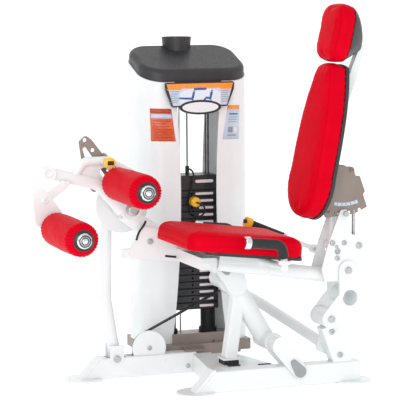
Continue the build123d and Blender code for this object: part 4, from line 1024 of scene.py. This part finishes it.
def add_markers():
    """The pill-shaped film marker on the right of every plate."""
    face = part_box("plates_resting")[0].y

    def place(x, z, lift):
        spot = at(x, 0, z)
        return Vector((spot.x, face - lift, spot.z))

    plates = [FIRST_PLATE_Z - PLATE_PITCH * k for k in range(PLATES)]
    rows = [("head_marker", "stack", [HEAD_MARKER_Z]), ("lifted_markers", "stack", plates[:LIFTED]),
            ("resting_markers", "root", plates[LIFTED:])]
    for name, body, heights in rows:
        form = bmesh.new()
        for z in heights:
            half = 0.0062 if name == "head_marker" else 0.0048
            left = -0.427 if z < FIRST_PLATE_Z - 0.001 else -0.442
            shape = rounded(left, -0.366, z - half, z + half, half * 0.8)
            flat_piece(form, shape, place, 0.0008, 0)
        put(name, mesh_of(name, form), body, "white_board", MARKER)


add_markers()


# --- number strip on the sector plate -----------------------------------------------------------
STRIP_MIDDLE = (-0.055, 0.664 + 0.215)
STRIP_RADIUS = 0.181
STRIP_FACE = -0.040
STRIP_HALF = 0.0062          # half of the strip's width
STRIP_TURN = 3.0             # degrees from straight down to the strip's middle
FIGURE_STEP = 5.75           # degrees between two figures


def add_number_strip():
    """The curved strip with the backrest's position numbers, 3 to 7."""
    def place(x, z, lift):
        return at(x, STRIP_FACE - lift, z)

    def spot(angle, radius):
        return STRIP_MIDDLE[0] + radius * cos(angle), STRIP_MIDDLE[1] + radius * sin(angle)

    spread = [radians(-90 + 15.5 * (2 * k / 24 - 1) + STRIP_TURN) for k in range(25)]
    outer = [spot(angle, STRIP_RADIUS + STRIP_HALF) for angle in spread]
    inner = [spot(angle, STRIP_RADIUS - STRIP_HALF) for angle in reversed(spread)]
    form = bmesh.new()
    flat_piece(form, outer + inner, place, 0.0008, 0)
    put("number_strip", mesh_of("number_strip", form), "backrest", "white_board", PALE_BLUE)
    for k, figure in enumerate("34567"):
        angle = radians(-90 + STRIP_TURN + FIGURE_STEP * (k - 2))
        text = bpy.data.curves.new(f"figure_{figure}", "FONT")
        text.body = figure
        text.size = 0.0115
        text.extrude = 0.0002
        text.align_x = "CENTER"
        text.align_y = "CENTER"
        piece = bpy.data.objects.new(f"position_figure_{figure}", text)
        text.materials.append(BLACK)
        x, z = spot(angle, STRIP_RADIUS)
        lean = Matrix.Rotation(angle + pi / 2, 4, (0, -1, 0))
        upright = Matrix.Rotation(pi / 2, 4, (1, 0, 0))
        piece.matrix_world = Matrix.Translation(place(x, z, 0.0011)) @ lean @ upright
        scene.collection.objects.link(piece)
        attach(piece, "backrest")


add_number_strip()


# --- small trim ---------------------------------------------------------------------------------
def add_inset(name, centre, shape, depth, body, slot, look):
    """A raised flat inlay that faces the user's left, at a point of the machine."""
    form = bmesh.new()
    flat_piece(form, shape, lambda x, z, lift: at(centre[0] + x, centre[1] - lift, centre[2] + z), depth, 0)
    piece = put(name, mesh_of(name, form), body, slot, look)
    bevel = piece.modifiers.new("soft_edges", "BEVEL")
    bevel.width = depth * 0.3
    bevel.segments = 2
    return piece


add_inset("knob_inlay", (-0.926, 0.1425, 0.873), rounded(-0.0125, 0.0125, -0.008, 0.008, 0.003), 0.0016,
          "pull_pin", "charcoal_plastic", BLACK)
add_inset("lever_cap_inlay", (-0.3615, 0.209, 0.6195), rounded(-0.008, 0.008, -0.008, 0.008, 0.002), 0.0012,
          "lever", "charcoal_plastic", BLACK)
# A raised black strip on the shield below the seat, where a dark line runs.
add_inset("arm_shield_black_strip", (-0.6265, 0.2638, 0.486), round_bar((-0.043, 0.006), (0.043, -0.006), 0.0042),
          0.0022, "carriage", "black_rubber", RUBBER)
# A round black strip along the shield's edge, where a dark line runs.
tube("shield_edge_black_strip", [at(-0.750, 0.2625, 0.633), at(-0.757, 0.2625, 0.617), at(-0.774, 0.2625, 0.598),
                          at(-0.783, 0.2625, 0.582), at(-0.789, 0.2625, 0.560)], 0.0042,
     "carriage", "black_rubber", RUBBER)
